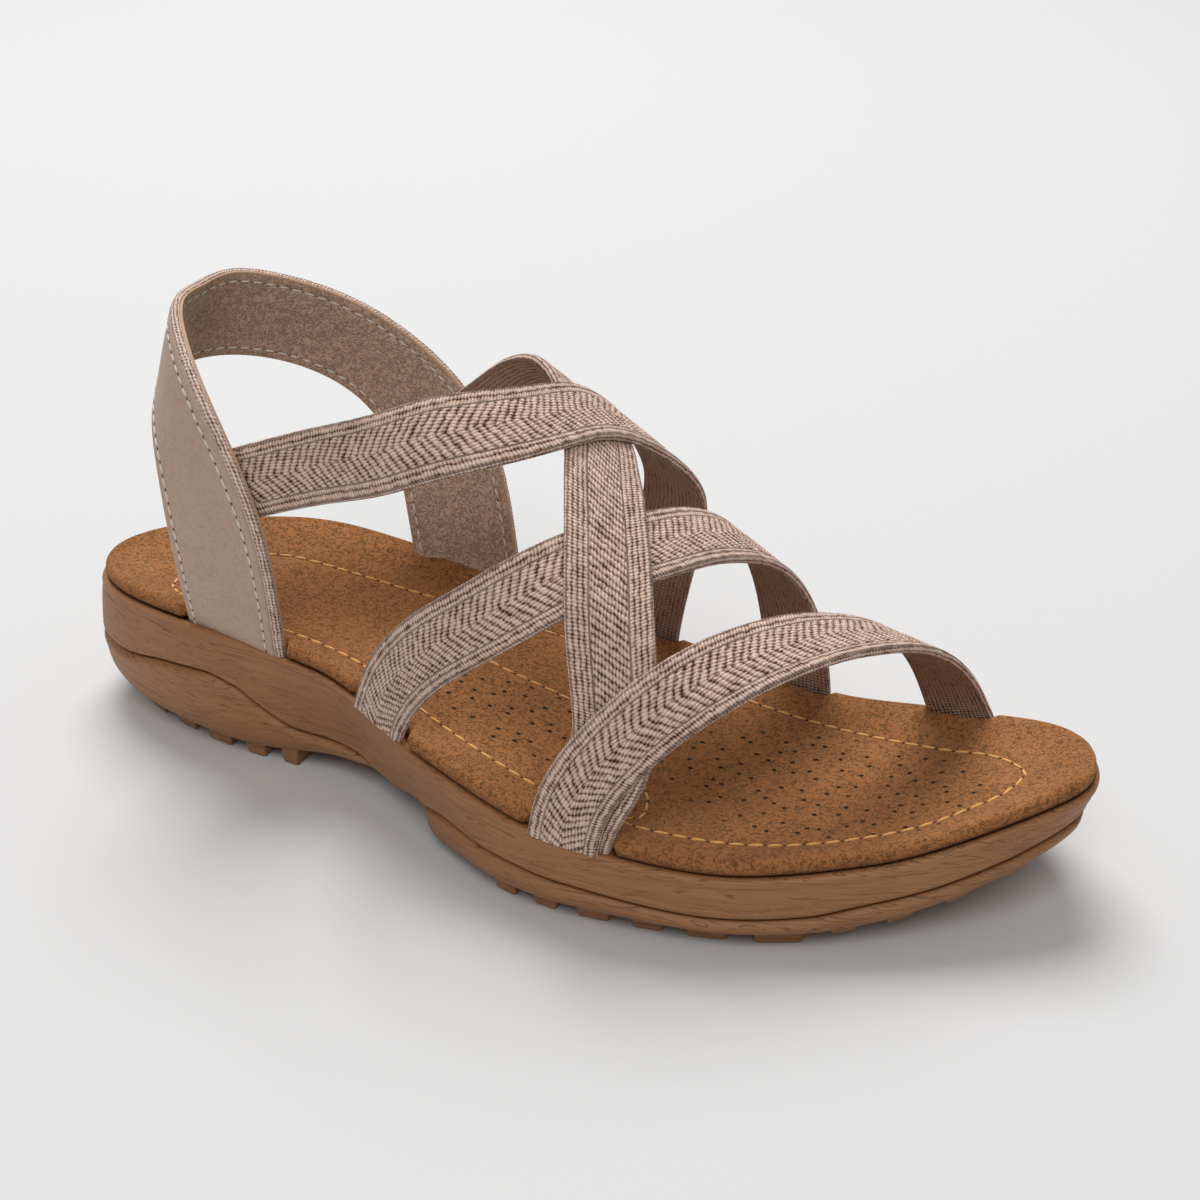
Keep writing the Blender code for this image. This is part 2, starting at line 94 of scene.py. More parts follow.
TOE_BARS = ((215.0, 221.0), (226.0, 232.0), (237.0, 243.0), (248.0, 253.0))
TOE_BAR_DEPTH = 1.5

# %% [markdown]
# ## Smooth curves
# A shoemaker bends a thin batten through a few marks. A spline would do the same here, but it
# swings out between uneven marks. This curve keeps its slope between its neighbours' slopes, so
# a flat part stays flat. The sole's outline, its lip and the dish of its foot bed are all read
# from such curves.

# %% Smooth curves through short tables


def curve(table, column, x):
    """Smooth value of one column of a table at x, without overshoot between its rows."""
    xs = np.array([row[0] for row in table], float)
    ys = np.array([row[column] for row in table], float)
    step = np.diff(xs)
    slope = np.diff(ys) / step
    tangent = np.zeros(len(xs))
    tangent[0] = slope[0]
    tangent[-1] = slope[-1]
    for i in range(1, len(xs) - 1):
        if slope[i - 1] * slope[i] > 0.0:
            a = 2.0 * step[i] + step[i - 1]
            b = step[i] + 2.0 * step[i - 1]
            tangent[i] = (a + b) / (a / slope[i - 1] + b / slope[i])
    x = np.clip(x, xs[0], xs[-1])
    k = np.clip(np.searchsorted(xs, x) - 1, 0, len(xs) - 2)
    h = step[k]
    s = (x - xs[k]) / h
    return (ys[k] * (1 + 2 * s) * (1 - s) ** 2 + tangent[k] * h * s * (1 - s) ** 2
            + ys[k + 1] * s * s * (3 - 2 * s) + tangent[k + 1] * h * s * s * (s - 1))


def ease(value, low, high):
    """0 below low, 1 above high and a soft step between them."""
    s = np.clip((value - low) / (high - low), 0.0, 1.0)
    return s * s * (3.0 - 2.0 * s)


def side(x, column):
    """Half width of the sole's top edge at x, to the inner (1) or the outer (2) side."""
    u = np.clip((x - HEEL_END) / LENGTH, 0.0, 1.0)
    return curve(OUTLINE, column, u) * 2.0 * np.sqrt(u * (1.0 - u))


def lip(x):
    """Height of the sole's top edge at x."""
    return curve(TOP, 1, x)


def dish(x, y):
    """How far the foot bed lies below the lip at a point of the sole."""
    width = side(x, 1) + side(x, 2)
    across = np.clip((y + side(x, 2)) / np.maximum(width, 1.0), 0.0, 1.0)
    return curve(TOP, 2, x) * np.sin(math.pi * across) ** 0.8


def angle_at(x):
    """Angle round the outline at which the sole's edge reaches x."""
    return math.acos(1.0 - 2.0 * (x - HEEL_END) / LENGTH)


def sole_edge(angle, inset):
    """Plan of the sole's edge, moved inwards; angle 0 is the heel and pi the toe."""
    def line(a):
        u = (1.0 - np.cos(a)) / 2.0
        half = np.where(np.sin(a) >= 0.0, curve(OUTLINE, 2, u), curve(OUTLINE, 1, u))
        return np.stack([HEEL_END + LENGTH * u, -half * np.sin(a)], -1)
    run = line(angle + 0.01) - line(angle - 0.01)
    run /= np.linalg.norm(run, axis=-1)[:, None]
    inward = np.stack([-run[:, 1], run[:, 0]], -1)
    return line(angle) + inward * np.reshape(inset, (-1, 1))


def spine(x):
    """Centre line on which the two sides of a sole layer meet."""
    x = np.clip(x, HEEL_END + 22.0, TOE_END - 22.0)
    return np.stack([x, (side(x, 1) - side(x, 2)) / 2.0], -1)


print("sole length", LENGTH, "mm, widest", round(float(side(170.0, 1) + side(170.0, 2)), 1), "mm")

# %% [markdown]
# ## One way to lay a skin
# Soles, foot beds and straps are all lofted: a section that changes along a run. A grid from
# Blender has its rows laid along the run and its columns laid round the section. Where the
# columns come back to where they began the doubles are merged, open ends are filled, and the
# skin is a closed solid.

# %% Lay a grid of faces over a table of places


def drape(name, places, finishes, zones=None, run=None, marks=None):
    """Closed skin over a table of places in millimetres: rows along a run, columns round it."""
    rows, columns, _ = places.shape
    bm = bmesh.new()
    bmesh.ops.create_grid(bm, x_segments=columns - 1, y_segments=rows - 1, size=1.0)
    col = [round((v.co.x + 1.0) / 2.0 * (columns - 1)) for v in bm.verts]
    row = [round((v.co.y + 1.0) / 2.0 * (rows - 1)) for v in bm.verts]
    spots = (places + np.array(PLACE)) * MM
    layers = {key: bm.verts.layers.float.new(key) for key in (marks or {})}
    for vert, i, j in zip(bm.verts, row, col):
        vert.co = spots[i, j]
        for key, layer in layers.items():
            vert[layer] = float(marks[key][i, j])
    bm.verts.index_update()
    uv = bm.loops.layers.uv.new("run")
    for face in bm.faces:
        face.smooth = True
        if zones is not None:
            face.material_index = zones[min(col[v.index] for v in face.verts)]
        if run is not None:
            for loop in face.loops:
                loop[uv].uv = run[row[loop.vert.index], col[loop.vert.index]]
    bmesh.ops.remove_doubles(bm, verts=bm.verts, dist=2e-6)
    bmesh.ops.dissolve_degenerate(bm, dist=1e-7, edges=bm.edges)
    bmesh.ops.holes_fill(bm, edges=bm.edges, sides=0)
    bmesh.ops.recalc_face_normals(bm, faces=bm.faces)
    return settle(name, bm, finishes)


def settle(name, bm, finishes):
    """Make an object of a finished bmesh, at the origin, and let it ride with the shoe."""
    mesh = bpy.data.meshes.new(name)
    bm.to_mesh(mesh)
    bm.free()
    for finish in finishes:
        mesh.materials.append(finish)
    piece = bpy.data.objects.new(name, mesh)
    bpy.context.scene.collection.objects.link(piece)
    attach(piece, "root")
    print(name, len(mesh.polygons), "faces")
    return piece


# %% [markdown]
# ## Finishes
# Every finish is built from noise and waves in real sizes. A few helpers keep them short: one
# turns a hex colour to linear light, one adds a node with its settings and links, and one
# closes a finish with bump, shader and output. Texture scales are in waves per metre: 1 /
# 0.0056 is one pit in 5.6 mm.

# %% Helpers for finishes


def hue(code):
    """An sRGB hex colour as linear light."""
    parts = [int(code[i:i + 2], 16) / 255.0 for i in (1, 3, 5)]
    return (*[p / 12.92 if p <= 0.04045 else ((p + 0.055) / 1.055) ** 2.4 for p in parts], 1.0)


def add(tree, kind, inputs=(), out=0, **settings):
    """Add a node; its inputs are values or outputs of other nodes, by place or by name."""
    node = tree.nodes.new("ShaderNode" + kind)
    for key, value in settings.items():
        setattr(node, key, value)
    for key, value in (inputs.items() if isinstance(inputs, dict) else enumerate(inputs)):
        if isinstance(value, bpy.types.NodeSocket):
            tree.links.new(value, node.inputs[key])
        elif value is not None:
            node.inputs[key].default_value = value
    return node.outputs[out]


def start(name):
    """An empty finish: its material and its node tree."""
    finish = bpy.data.materials.new(name)
    finish.use_nodes = True
    finish.node_tree.nodes.clear()
    print("finish:", name)
    return finish, finish.node_tree


def close(tree, height, depth, strength, **sockets):
    """Join height and colour to one shader; depth is the relief in metres."""
    bump = add(tree, "Bump", {"Strength": strength, "Distance": depth, "Height": height})
    names = {key.replace("_", " ").title().replace("Ior", "IOR"): value
             for key, value in sockets.items()}
    shader = add(tree, "BsdfPrincipled", {**names, "Normal": bump})
    end = tree.nodes.new("ShaderNodeOutputMaterial")
    tree.links.new(shader, end.inputs["Surface"])


# %% [markdown]
# ## Gum rubber sole
# The sole is foamed natural-looking rubber, moulded in one go: a matt to satin brown skin, with
# faint flow lines along the wall that look like wood grain, paler where the skin is polished by
# handling. Noise that is stretched along the shoe draws the lines, both in colour and in
# relief.

# %% Gum rubber
gum_rubber, tree = start("moulded gum rubber")
at = add(tree, "TexCoord", out=3)
turned = add(tree, "Mapping", {"Vector": at, "Rotation": (0.0, 0.03, 0.0),
                               "Scale": (0.045, 0.08, 1.0)})
# flow lines: the level lines of a noise that is 22 times as long along the shoe as it is high
flow = add(tree, "TexNoise", {"Vector": turned, "Scale": 380.0, "Detail": 3.5, "Roughness": 0.55,
                              "Distortion": 0.9})
cloud = add(tree, "TexNoise", {"Vector": at, "Scale": 45.0, "Detail": 3.0})
level = add(tree, "Math", (add(tree, "Math", (flow, 11.0), operation="MULTIPLY"), 0.5),
            operation="PINGPONG")
line = add(tree, "MapRange", {"Value": level, "From Min": 0.0, "From Max": 0.12},
           interpolation_type="SMOOTHSTEP")
body = add(tree, "Mix", {0: cloud, 6: hue("#8C5C37"), 7: hue("#A4744B")}, out=2, data_type="RGBA")
weak = add(tree, "MapRange", {"Value": line, "To Min": 0.3})
tone = add(tree, "Mix", {0: weak, 6: hue("#5E3D22"), 7: body}, out=2, data_type="RGBA")
pores = add(tree, "TexNoise", {"Vector": at, "Scale": 2600.0, "Detail": 2.0})
relief = add(tree, "Math", (line, add(tree, "Math", (pores, 0.4), operation="MULTIPLY")),
             operation="ADD")
sheen = add(tree, "MapRange", {"Value": cloud, "To Min": 0.46, "To Max": 0.6})
close(tree, relief, 0.0002, 0.45, base_color=tone, roughness=sheen)

# %% [markdown]
# ## Midsole
# The upper band of the sole is one moulding with a rounded lip that holds the foot bed, a wall
# that bulges at the heel, and a beaded ledge with a groove along its lower edge. Its section is
# written as a few steps inwards and upwards, and the section is swept round the outline.

# %% Section of the midsole, swept round the sole
WALL_LINE = (
    # share of the wall's height, share of the joint's inset, extra inset
    (0.0, 1.0, 0.0), (0.3, 0.75, -0.2), (0.7, 0.3, -0.5), (1.0, 0.0, -0.15),
)
# height over the lower edge and push inwards; then depth under the lip and push inwards
LOWER_EDGE = ((0.0, 2.6), (0.1, 1.7), (0.4, 0.95), (0.8, 0.45), (1.3, 0.15), (1.9, 0.0),
              (2.4, 0.1), (2.7, 0.2), (3.1, 0.1), (3.6, 0.0))
UPPER_EDGE = ((3.4, 0.0), (2.9, 0.05), (2.5, 0.12), (2.1, 0.0), (1.6, -0.25), (1.1, -0.35),
              (0.6, -0.2), (0.25, 0.1), (0.05, 0.5), (0.0, 1.0))
ROUND = 480

round_turn = np.linspace(0.0, 2.0 * math.pi, ROUND + 1)


def across_layer(edge, at_x, shares, height):
    """Columns from an edge line to the spine at some shares, at a height over the plan."""
    centre = spine(at_x)
    columns = []
    for share in shares:
        plan = edge + (centre - edge) * share
        columns.append(np.stack([plan[:, 0], plan[:, 1], height(plan[:, 0], plan[:, 1])], -1))
    return columns


def band(angle):
    """Places of the midsole's skin, from the spine of its underside over the wall to its top."""
    x0 = sole_edge(angle, 0.0)[:, 0]
    low = curve(JOINT, 1, x0)
    tall = lip(x0) - low

    def column(share, lift, push):
        at_share = share + lift / tall
        inset = (curve(JOINT, 2, x0) * curve(WALL_LINE, 1, at_share)
                 + curve(WALL_LINE, 2, at_share) + push)
        plan = sole_edge(angle, inset)
        joint = curve(JOINT, 1, plan[:, 0])
        z = joint + at_share * (lip(plan[:, 0]) - joint)
        return np.stack([plan[:, 0], plan[:, 1], z], -1)

    wall = [column(0.0, lift, push) for lift, push in LOWER_EDGE]
    first = LOWER_EDGE[-1][0] / tall
    last = 1.0 - UPPER_EDGE[0][0] / tall
    for share in np.linspace(0.0, 1.0, 12)[1:-1]:
        wall.append(column(first + share * (last - first), 0.0, 0.0))
    wall += [column(1.0, -drop, push) for drop, push in UPPER_EDGE]
    under = across_layer(wall[0][:, :2], x0, (1.0, 0.6, 0.3, 0.1),
                         lambda x, y: curve(JOINT, 1, x))
    over = across_layer(wall[-1][:, :2], x0, (0.03, 0.1, 0.3, 0.6, 1.0),
                        lambda x, y: lip(x) - 0.3 - dish(x, y))
    return np.stack(under + wall + over, 1)


midsole = drape("midsole_band", band(round_turn), [gum_rubber])
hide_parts("midsole")

# %% [markdown]
# ## Tread pieces
# Below the ledge the heel and the forefoot have their own tread pieces. Their walls tuck in
# under the ledge, which throws the dark line that is seen all along the side. The lugs are
# blocks with rounded edges: a cube is set to the sole's width at its place and bevelled.

# %% Heel and forefoot treads with their lugs
TREAD_LINE = (
    # share of the height, share of the way from the tread's inset to the joint's
    (0.0, 0.0), (0.05, 0.25), (0.16, 0.55), (0.45, 0.9), (1.0, 1.0),
)
TREAD_SHARES = (0.0, 0.02, 0.05, 0.1, 0.17, 0.26, 0.37, 0.5, 0.63, 0.76, 0.88, 1.0)
TREAD_CORNER = 2.6
SEAT_GAP = 0.02


def tread(angle):
    """Places of a tread piece's skin, from its underside over the wall to its top."""
    x0 = sole_edge(angle, 0.0)[:, 0]
    wall = []
    tall = curve(JOINT, 1, x0) - curve(TREAD, 1, x0)
    for share in (*TREAD_SHARES, *[1.0 - drop for drop in (0.9, 0.7, 0.45, 0.2, 0.05, 0.0)]):
        if share in TREAD_SHARES:
            share = share * (1.0 - np.minimum(TREAD_CORNER, 0.5 * tall) / tall)
        else:
            share = 1.0 - (1.0 - share) * np.minimum(TREAD_CORNER, 0.5 * tall) / tall
        drop = (1.0 - share) * tall
        out_share = curve(TREAD_LINE, 1, share)
        inset = (curve(TREAD, 2, x0) * (1.0 - out_share)
                 + (curve(JOINT, 2, x0) + 0.1) * out_share
                 + 2.0 * np.exp(-(drop / 0.75) ** 2) - 0.25 * np.exp(-((drop - 2.2) / 1.3) ** 2)
                 + 3.5 * (ease(x0, 82.0, HEEL_PIECE_END + 1.0)
                          - ease(x0, FORE_PIECE_START - 1.0, 117.0)))
        plan = sole_edge(angle, inset)
        low = curve(TREAD, 1, plan[:, 0])
        z = low + share * (curve(JOINT, 1, plan[:, 0]) - SEAT_GAP - low)
        wall.append(np.stack([plan[:, 0], plan[:, 1], z], -1))
    under = across_layer(wall[0][:, :2], x0, (1.0, 0.6, 0.3, 0.1),
                         lambda x, y: curve(TREAD, 1, x))
    over = across_layer(wall[-1][:, :2], x0, (0.1, 0.5, 1.0),
                        lambda x, y: curve(JOINT, 1, x) - SEAT_GAP)
    return np.stack(under + wall + over, 1)


def lug(name, x0, x1, floor, proud=0.5):
    """One cross bar of the tread: a cube set to its place, with rounded edges."""
    inset = float(curve(TREAD, 2, (x0 + x1) / 2.0)) - proud
    bm = bmesh.new()
    bmesh.ops.create_cube(bm, size=2.0)
    for vert in bm.verts:
        x = x1 if vert.co.x > 0 else x0
        sign = 1.0 if vert.co.y > 0 else -1.0
        y = sign * (float(side(x, 1 if sign > 0 else 2)) - inset)
        z = float(curve(TREAD, 1, x)) + 2.4
        if vert.co.z < 0:
            x += 0.7 if vert.co.x < 0 else -0.7
            y -= sign * 0.7
            z = floor(x)
        vert.co = [(x + PLACE[0]) * MM, (y + PLACE[1]) * MM, (z + PLACE[2]) * MM]
    bmesh.ops.bevel(bm, geom=bm.edges[:], offset=0.8 * MM, segments=3, profile=0.5,
                    affect="EDGES", clamp_overlap=True, material=-1)
    for face in bm.faces:
        face.smooth = True
    piece = settle(name, bm, [gum_rubber])
    return piece


heel_angle = np.linspace(-angle_at(HEEL_PIECE_END), angle_at(HEEL_PIECE_END), 261)
fore_angle = np.linspace(angle_at(FORE_PIECE_START),
                         2.0 * math.pi - angle_at(FORE_PIECE_START), 321)
for label, node, angle in (("heel_tread", "outsole_heel", heel_angle),
                           ("fore_tread", "outsole_forefoot", fore_angle)):
    piece = drape(label, tread(angle), [gum_rubber])
    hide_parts(node)
for i, (x0, x1) in enumerate(HEEL_BARS + FORE_BARS):
    lug(f"lug_{i + 1}", x0, x1, lambda x: 0.0)
for i, (x0, x1) in enumerate(TOE_BARS):
    lug(f"toe_lug_{i + 1}", x0, x1, lambda x: float(curve(TREAD, 1, x)) - TOE_BAR_DEPTH,
        proud=1.4)

# %% [markdown]
# ## Padded foot bed
# Suede is wrapped over soft foam, so the edge is a round roll that leans back from the lip, and
# the sewing pulls the pad down along its lines. The grid is fine enough to press those lines
# and the places of the strap ends into it.

# %% Lines of the sewing on the foot bed
# each line in millimetres on the plan of the sole
FOOT_BED_LINES = {
    "forefoot": ((176, 20), (187, 19), (203, 17), (219, 15), (234, 13), (243, 8), (247, 2),
                 (245, -5), (238, -13), (231, -20), (220, -28), (206, -35), (193, -39),
                 (180, -42), (166, -44), (152, -43), (138, -40.5), (124, -37), (112, -33),
                 (103, -29)),
    "far_side": ((29, -17), (24, -12), (22, -5), (25, 6), (36, 14), (46, 16), (58, 16), (70, 16),
                 (82, 16), (94, 17), (108, 18), (126, 19.5), (150, 21), (165, 21), (176, 20)),
    "near_heel": ((29, -17), (40, -19.5), (55, -20.5), (71, -21), (84, -23), (95, -26),
                  (103, -29)),
    "arch_line": ((103, 2), (113, -2), (120, -3), (132, -4), (146, -6), (158, -14), (164, -26),
                  (168, -33), (169, -38), (165, -43)),
}


def thread_line(points, step=0.5):
    """Even places along a smooth line through some points."""
    knots = np.array(points, float)
    gap = np.concatenate([[0.0], np.cumsum(np.linalg.norm(np.diff(knots, axis=0), axis=1))])
    fine = np.linspace(0.0, gap[-1], int(gap[-1] / step) + 2)
    table = [(g, *p) for g, p in zip(gap, knots)]
    return np.stack([curve(table, k + 1, fine) for k in range(knots.shape[1])], -1)


sewn = {name: thread_line(points) for name, points in FOOT_BED_LINES.items()}
print("foot bed sewing:", {name: round(0.5 * len(line)) for name, line in sewn.items()}, "mm")

# %% [markdown]
# ## The last
# The straps lie on the shape of a foot, the last: a row of arched sections along the sole. A
# strap is a path over the last, given by where it is at each turn from the outer edge (0) over
# the top (0.5) to the inner edge (1), and how far it is lifted where it passes over another
# strap.

# %% Last and straps
LAST = (
    # x, height, fullness, lean
    (40.0, 90.0, 2.7, -10.5), (80.0, 85.5, 2.6, -7.0), (110.0, 85.0, 2.6, -3.0),
    (140.0, 72.0, 2.5, 0.5), (170.0, 57.0, 2.5, -0.5), (200.0, 44.0, 2.25, -4.5),
    (235.0, 32.5, 1.9, -10.5), (250.0, 27.0, 1.8, -12.0),
)
LAST_INSET = 1.5
HEEL_SPREAD = 4.5
STRAPS = {
    # name: width, path of (turn, x), lifts of (turn, mm)
    "instep": (18.0, ((0.14, 60.0), (0.27, 104.0), (0.40, 125.0), (0.50, 133.0), (0.60, 138.0),
                      (0.75, 148.0), (1.02, 137.5)),
               ((0.13, 0.0), (0.35, 3.0), (0.47, 3.6), (0.68, 3.6), (1.02, 0.0))),
    "diagonal": (19.5, ((-0.03, 156.0), (0.00, 157.5), (0.12, 168.0), (0.27, 162.0),
                        (0.42, 152.5), (0.60, 132.0), (0.84, 95.5), (0.89, 84.0)),
                 ((-0.04, -0.9), (0.12, 0.0), (0.20, 0.0), (0.29, 1.8), (0.68, 1.8),
                  (0.89, 3.8))),
    "middle": (18.0, ((-0.03, 95.5), (0.00, 100.5), (0.15, 130.5), (0.30, 149.0), (0.45, 162.0),
                      (0.60, 172.0), (1.00, 182.0), (1.03, 182.5)),
               ((-0.03, 0.0), (1.03, 0.0))),
    "toe": (17.0, ((-0.03, 155.5), (0.00, 156.5), (0.15, 170.5), (0.30, 184.5), (0.45, 197.0),
                   (0.60, 210.0), (0.80, 218.5), (1.00, 225.5), (1.03, 227.5)),
            ((-0.04, 0.9), (0.12, 1.8), (0.25, 1.8), (0.45, 0.0), (1.03, 0.0))),
}
SPANS = {"instep": (0.13, 1.02), "diagonal": (-0.03, 0.89), "middle": (-0.03, 1.03),
         "toe": (-0.03, 1.03)}
LIFT = 1.15
WEB_THICK = 2.0


def last_point(x, turn):
    """Point of the last: turn 0 is the outer edge, 0.5 the top and 1 the inner edge."""
    x = np.clip(x, LAST[0][0], LAST[-1][0])
    outer = -side(x, 2) + LAST_INSET - np.clip((110.0 - x) / 50.0, 0.0, 1.0) * HEEL_SPREAD
    inner = side(x, 1) - LAST_INSET + np.clip((125.0 - x) / 50.0, 0.0, 1.0) * HEEL_SPREAD
    power = 2.0 / curve(LAST, 2, x)
    c = np.cos(math.pi * turn)
    s = np.sin(math.pi * turn)
    y = ((outer + inner) / 2.0 - (inner - outer) / 2.0 * np.sign(c) * np.abs(c) ** power
         + curve(LAST, 3, x) * s * s)
    z = lip(x) + curve(LAST, 1, x) * np.sign(s) * np.abs(s) ** power
    return np.stack([x, y, z], -1)


def last_frame(x, turn):
    """Directions on the last along x and turn, and the outward normal."""
    e = 0.5
    h = 0.004
    along_x = (last_point(x + e, turn) - last_point(x - e, turn)) / (2.0 * e)
    along_t = (last_point(x, turn + h) - last_point(x, turn - h)) / (2.0 * h)
    normal = np.cross(along_x, along_t)
    normal /= np.linalg.norm(normal, axis=-1)[..., None]
    centre = np.stack([x, 0 * x - 5.0, 0 * x + 40.0], -1)
    facing = np.sign(((last_point(x, turn) - centre) * normal).sum(-1))
    return along_x, along_t, normal * facing[..., None]


def eased(table, turns, reach=0.05):
    """A table's second column without sudden bends: a weighted mean over nearby turns."""
    first, last = table[0][0], table[-1][0]
    slopes = [(curve(table, 1, np.array([t + h]))[0] - curve(table, 1, np.array([t]))[0]) / h
              for t, h in ((first, 0.004), (last, -0.004))]
    total = 0.0
    for shift, weight in ((-1.0, 1.0), (-0.67, 2.0), (-0.33, 3.0), (0.0, 4.0), (0.33, 3.0),
                          (0.67, 2.0), (1.0, 1.0)):
        t = turns + shift * reach
        beyond = slopes[0] * np.minimum(t - first, 0.0) + slopes[1] * np.maximum(t - last, 0.0)
        total = total + weight * (curve(table, 1, t) + beyond)
    return total / 16.0


def strap_skin(name, turns, across):
    """Middle of a strap's thickness and its outward normal, at turns and millimetres across."""
    _, path, lifts = STRAPS[name]
    x = eased(path, turns)
    along_x, along_t, normal = last_frame(x, turns)
    step = 0.002
    ahead = last_point(eased(path, turns + step), turns + step)
    behind = last_point(eased(path, turns - step), turns - step)
    run = ahead - behind
    run /= np.linalg.norm(run, axis=1)[:, None]
    sideways = np.cross(normal, run)
    sideways *= np.sign(np.median(sideways[:, 0]))
    a = (along_x * along_x).sum(1)
    b = (along_x * along_t).sum(1)
    c = (along_t * along_t).sum(1)
    u = (sideways * along_x).sum(1)
    v = (sideways * along_t).sum(1)
    det = a * c - b * b
    to_x = (c * u - b * v) / det
    to_turn = (a * v - b * u) / det
    places = []
    normals = []
    for away in across:
        xs = x + away * to_x
        ts = turns + away * to_turn
        _, _, normal = last_frame(xs, ts)
        lift = curve(lifts, 1, ts) * LIFT
        places.append(last_point(xs, ts) + normal * lift[:, None])
        normals.append(normal)
    return np.stack(places, 1), np.stack(normals, 1)


# %% [markdown]
# ## Shape of the foot bed
# The pad is thin foam under suede, pulled down by its sewing and pushed in where a strap goes
# down beside it. Cloth simulation could find such a shape, but here the roll and every dent are
# known, so the section is written out and swept round the outline like the midsole's.

# %% Foot bed with its roll, its sewing and the dents for the strap ends
ROLL = ((3.2, 0.3), (1.7, 0.3), (1.2, 0.35), (0.85, 0.8), (0.62, 1.4), (0.55, 2.0), (0.65, 2.7),
        (0.95, 3.3), (1.5, 3.85), (2.2, 4.2), (3.0, 4.4))
BED_THICK = 4.4
DENT = 2.9
PAD_SINK = 1.2
# side of the sole, first x and last x of each end of the heel strap
HEEL_STRAP_FEET = ((-1.0, 37.5, 68.5), (1.0, 72.5, 102.5))


def strap_feet():
    """Where each strap end meets the sole's edge: side of the sole, first x and last x."""
    feet = []
    for name, ends in (("instep", (1.0,)), ("diagonal", (0.0,)), ("middle", (0.0, 1.0)),
                       ("toe", (0.0, 1.0))):
        half = STRAPS[name][0] / 2.0
        for end in ends:
            turns = np.array([end - 0.012, end + 0.012])
            places, _ = strap_skin(name, turns, np.array([-half, half]))
            feet.append((1.0 if end > 0.5 else -1.0, places[..., 0].min(), places[..., 0].max()))
    return [*feet, *HEEL_STRAP_FEET]


def pad_sink(x, y):
    """How far the middle of the pad lies below its rolled edge."""
    from_edge = np.minimum(side(x, 1) - y, side(x, 2) + y)
    return PAD_SINK * ease(from_edge, 4.0, 15.0)


def foot_bed(angle):
    """Places of the pad's skin: underside, roll and top."""
    plain = sole_edge(angle, 0.0)
    dent = np.zeros(len(angle))
    for sign, first, last in strap_feet():
        here = (plain[:, 1] * sign > 0.0)
        window = (ease(plain[:, 0], first - 1.2, first + 0.6)
                  * (1.0 - ease(plain[:, 0], last - 0.6, last + 1.2)))
        dent = np.maximum(dent, np.where(here, window, 0.0))
    columns = []
    for inset, up in ROLL:
        plan = sole_edge(angle, inset + dent * DENT)
        sunk = np.where(inset > 2.9, dish(plan[:, 0], plan[:, 1]), 0.0)
        columns.append(np.stack([plan[:, 0], plan[:, 1], lip(plan[:, 0]) + up - sunk * (up > 1.0)],
                                -1))
    x0 = plain[:, 0]
    under = across_layer(columns[0][:, :2], x0, (1.0, 0.4), lambda x, y: lip(x) + 0.3 - dish(x, y))
    steps = np.linspace(0.0, 1.0, 40)[1:]
    over = across_layer(columns[-1][:, :2], x0, steps,
                        lambda x, y: lip(x) + BED_THICK - dish(x, y) - pad_sink(x, y))
    return np.stack(under + columns + over, 1)


bed_places = foot_bed(round_turn)
top_first = 2 + len(ROLL) - 1
plan = bed_places[:, top_first:, :2]
near_line = np.full(plan.shape[:2], 99.0)
for line in sewn.values():
    for spot in line[::2]:
        near_line = np.minimum(near_line, np.hypot(plan[..., 0] - spot[0], plan[..., 1] - spot[1]))
bed_places[:, top_first:, 2] -= 0.55 * np.exp(-(near_line / 1.3) ** 2)

# perforated fields of the pad, faded towards the sewing
field = np.zeros(bed_places.shape[:2])
inside = ((plan[..., 0] - 203.0) / 42.0) ** 2 + ((plan[..., 1] + 10.0) / 25.0) ** 2
waist = ((plan[..., 0] - 134.0) / 30.0) ** 2 + ((plan[..., 1] + 18.0) / 15.0) ** 2
field[:, top_first:] = np.maximum(1.0 - ease(inside, 0.8, 1.0), 1.0 - ease(waist, 0.8, 1.0))
# painted shade on the lower side of the pad's roll, strongest at the bottom and gone by its middle
rim = np.zeros(bed_places.shape[:2])
rim[:, 2:9] = np.array([1.0, 1.0, 1.0, 0.8, 0.4, 0.15, 0.0])

# %% [markdown]
# ## Suede
# Suede is the flesh side of leather, brushed up: a tan brown nap whose short curls lie in all
# directions, paler where they catch the light and dark between. The finish paints both: a noise
# bent hard on itself gives the curls, its middle value draws thin worm-like lines 1 to 2 mm long
# in painted shade, and pale fibre flecks are a painted highlight. Small pits let the pad
# breathe, and their near black colour is painted shade.

# %% Suede of the foot bed
brushed_suede, tree = start("brushed suede")
at = add(tree, "TexCoord", out=3)
# curls 1.8 and 1.3 mm long, coarser than real nap so that they show
strokes = []
for scale, shift in ((560.0, 0.0), (760.0, 3.0)):
    moved = add(tree, "Mapping", {"Vector": at, "Location": (shift, 0.0, shift)})
    curl = add(tree, "TexNoise", {"Vector": moved, "Scale": scale, "Detail": 0.6, "Roughness": 0.5,
                                  "Distortion": 1.0})
    away = add(tree, "Math", (curl, 0.5), operation="SUBTRACT")
    thin = add(tree, "Math", (away,), operation="ABSOLUTE")
    groove = add(tree, "MapRange", {"Value": thin, "From Min": 0.008, "From Max": 0.05},
                 interpolation_type="SMOOTHSTEP")
    broken = add(tree, "TexNoise", {"Vector": moved, "Scale": scale * 1.5, "Detail": 0.4})
    cut = add(tree, "MapRange", {"Value": broken, "From Min": 0.47, "From Max": 0.6},
              interpolation_type="SMOOTHSTEP")
    strokes.append(add(tree, "Math", (groove, cut), operation="MAXIMUM"))
gap = add(tree, "Math", strokes, operation="MINIMUM")
fibre = add(tree, "TexNoise", {"Vector": at, "Scale": 1500.0, "Detail": 2.0})
cloud = add(tree, "TexNoise", {"Vector": at, "Scale": 60.0, "Detail": 5.0, "Roughness": 0.65})
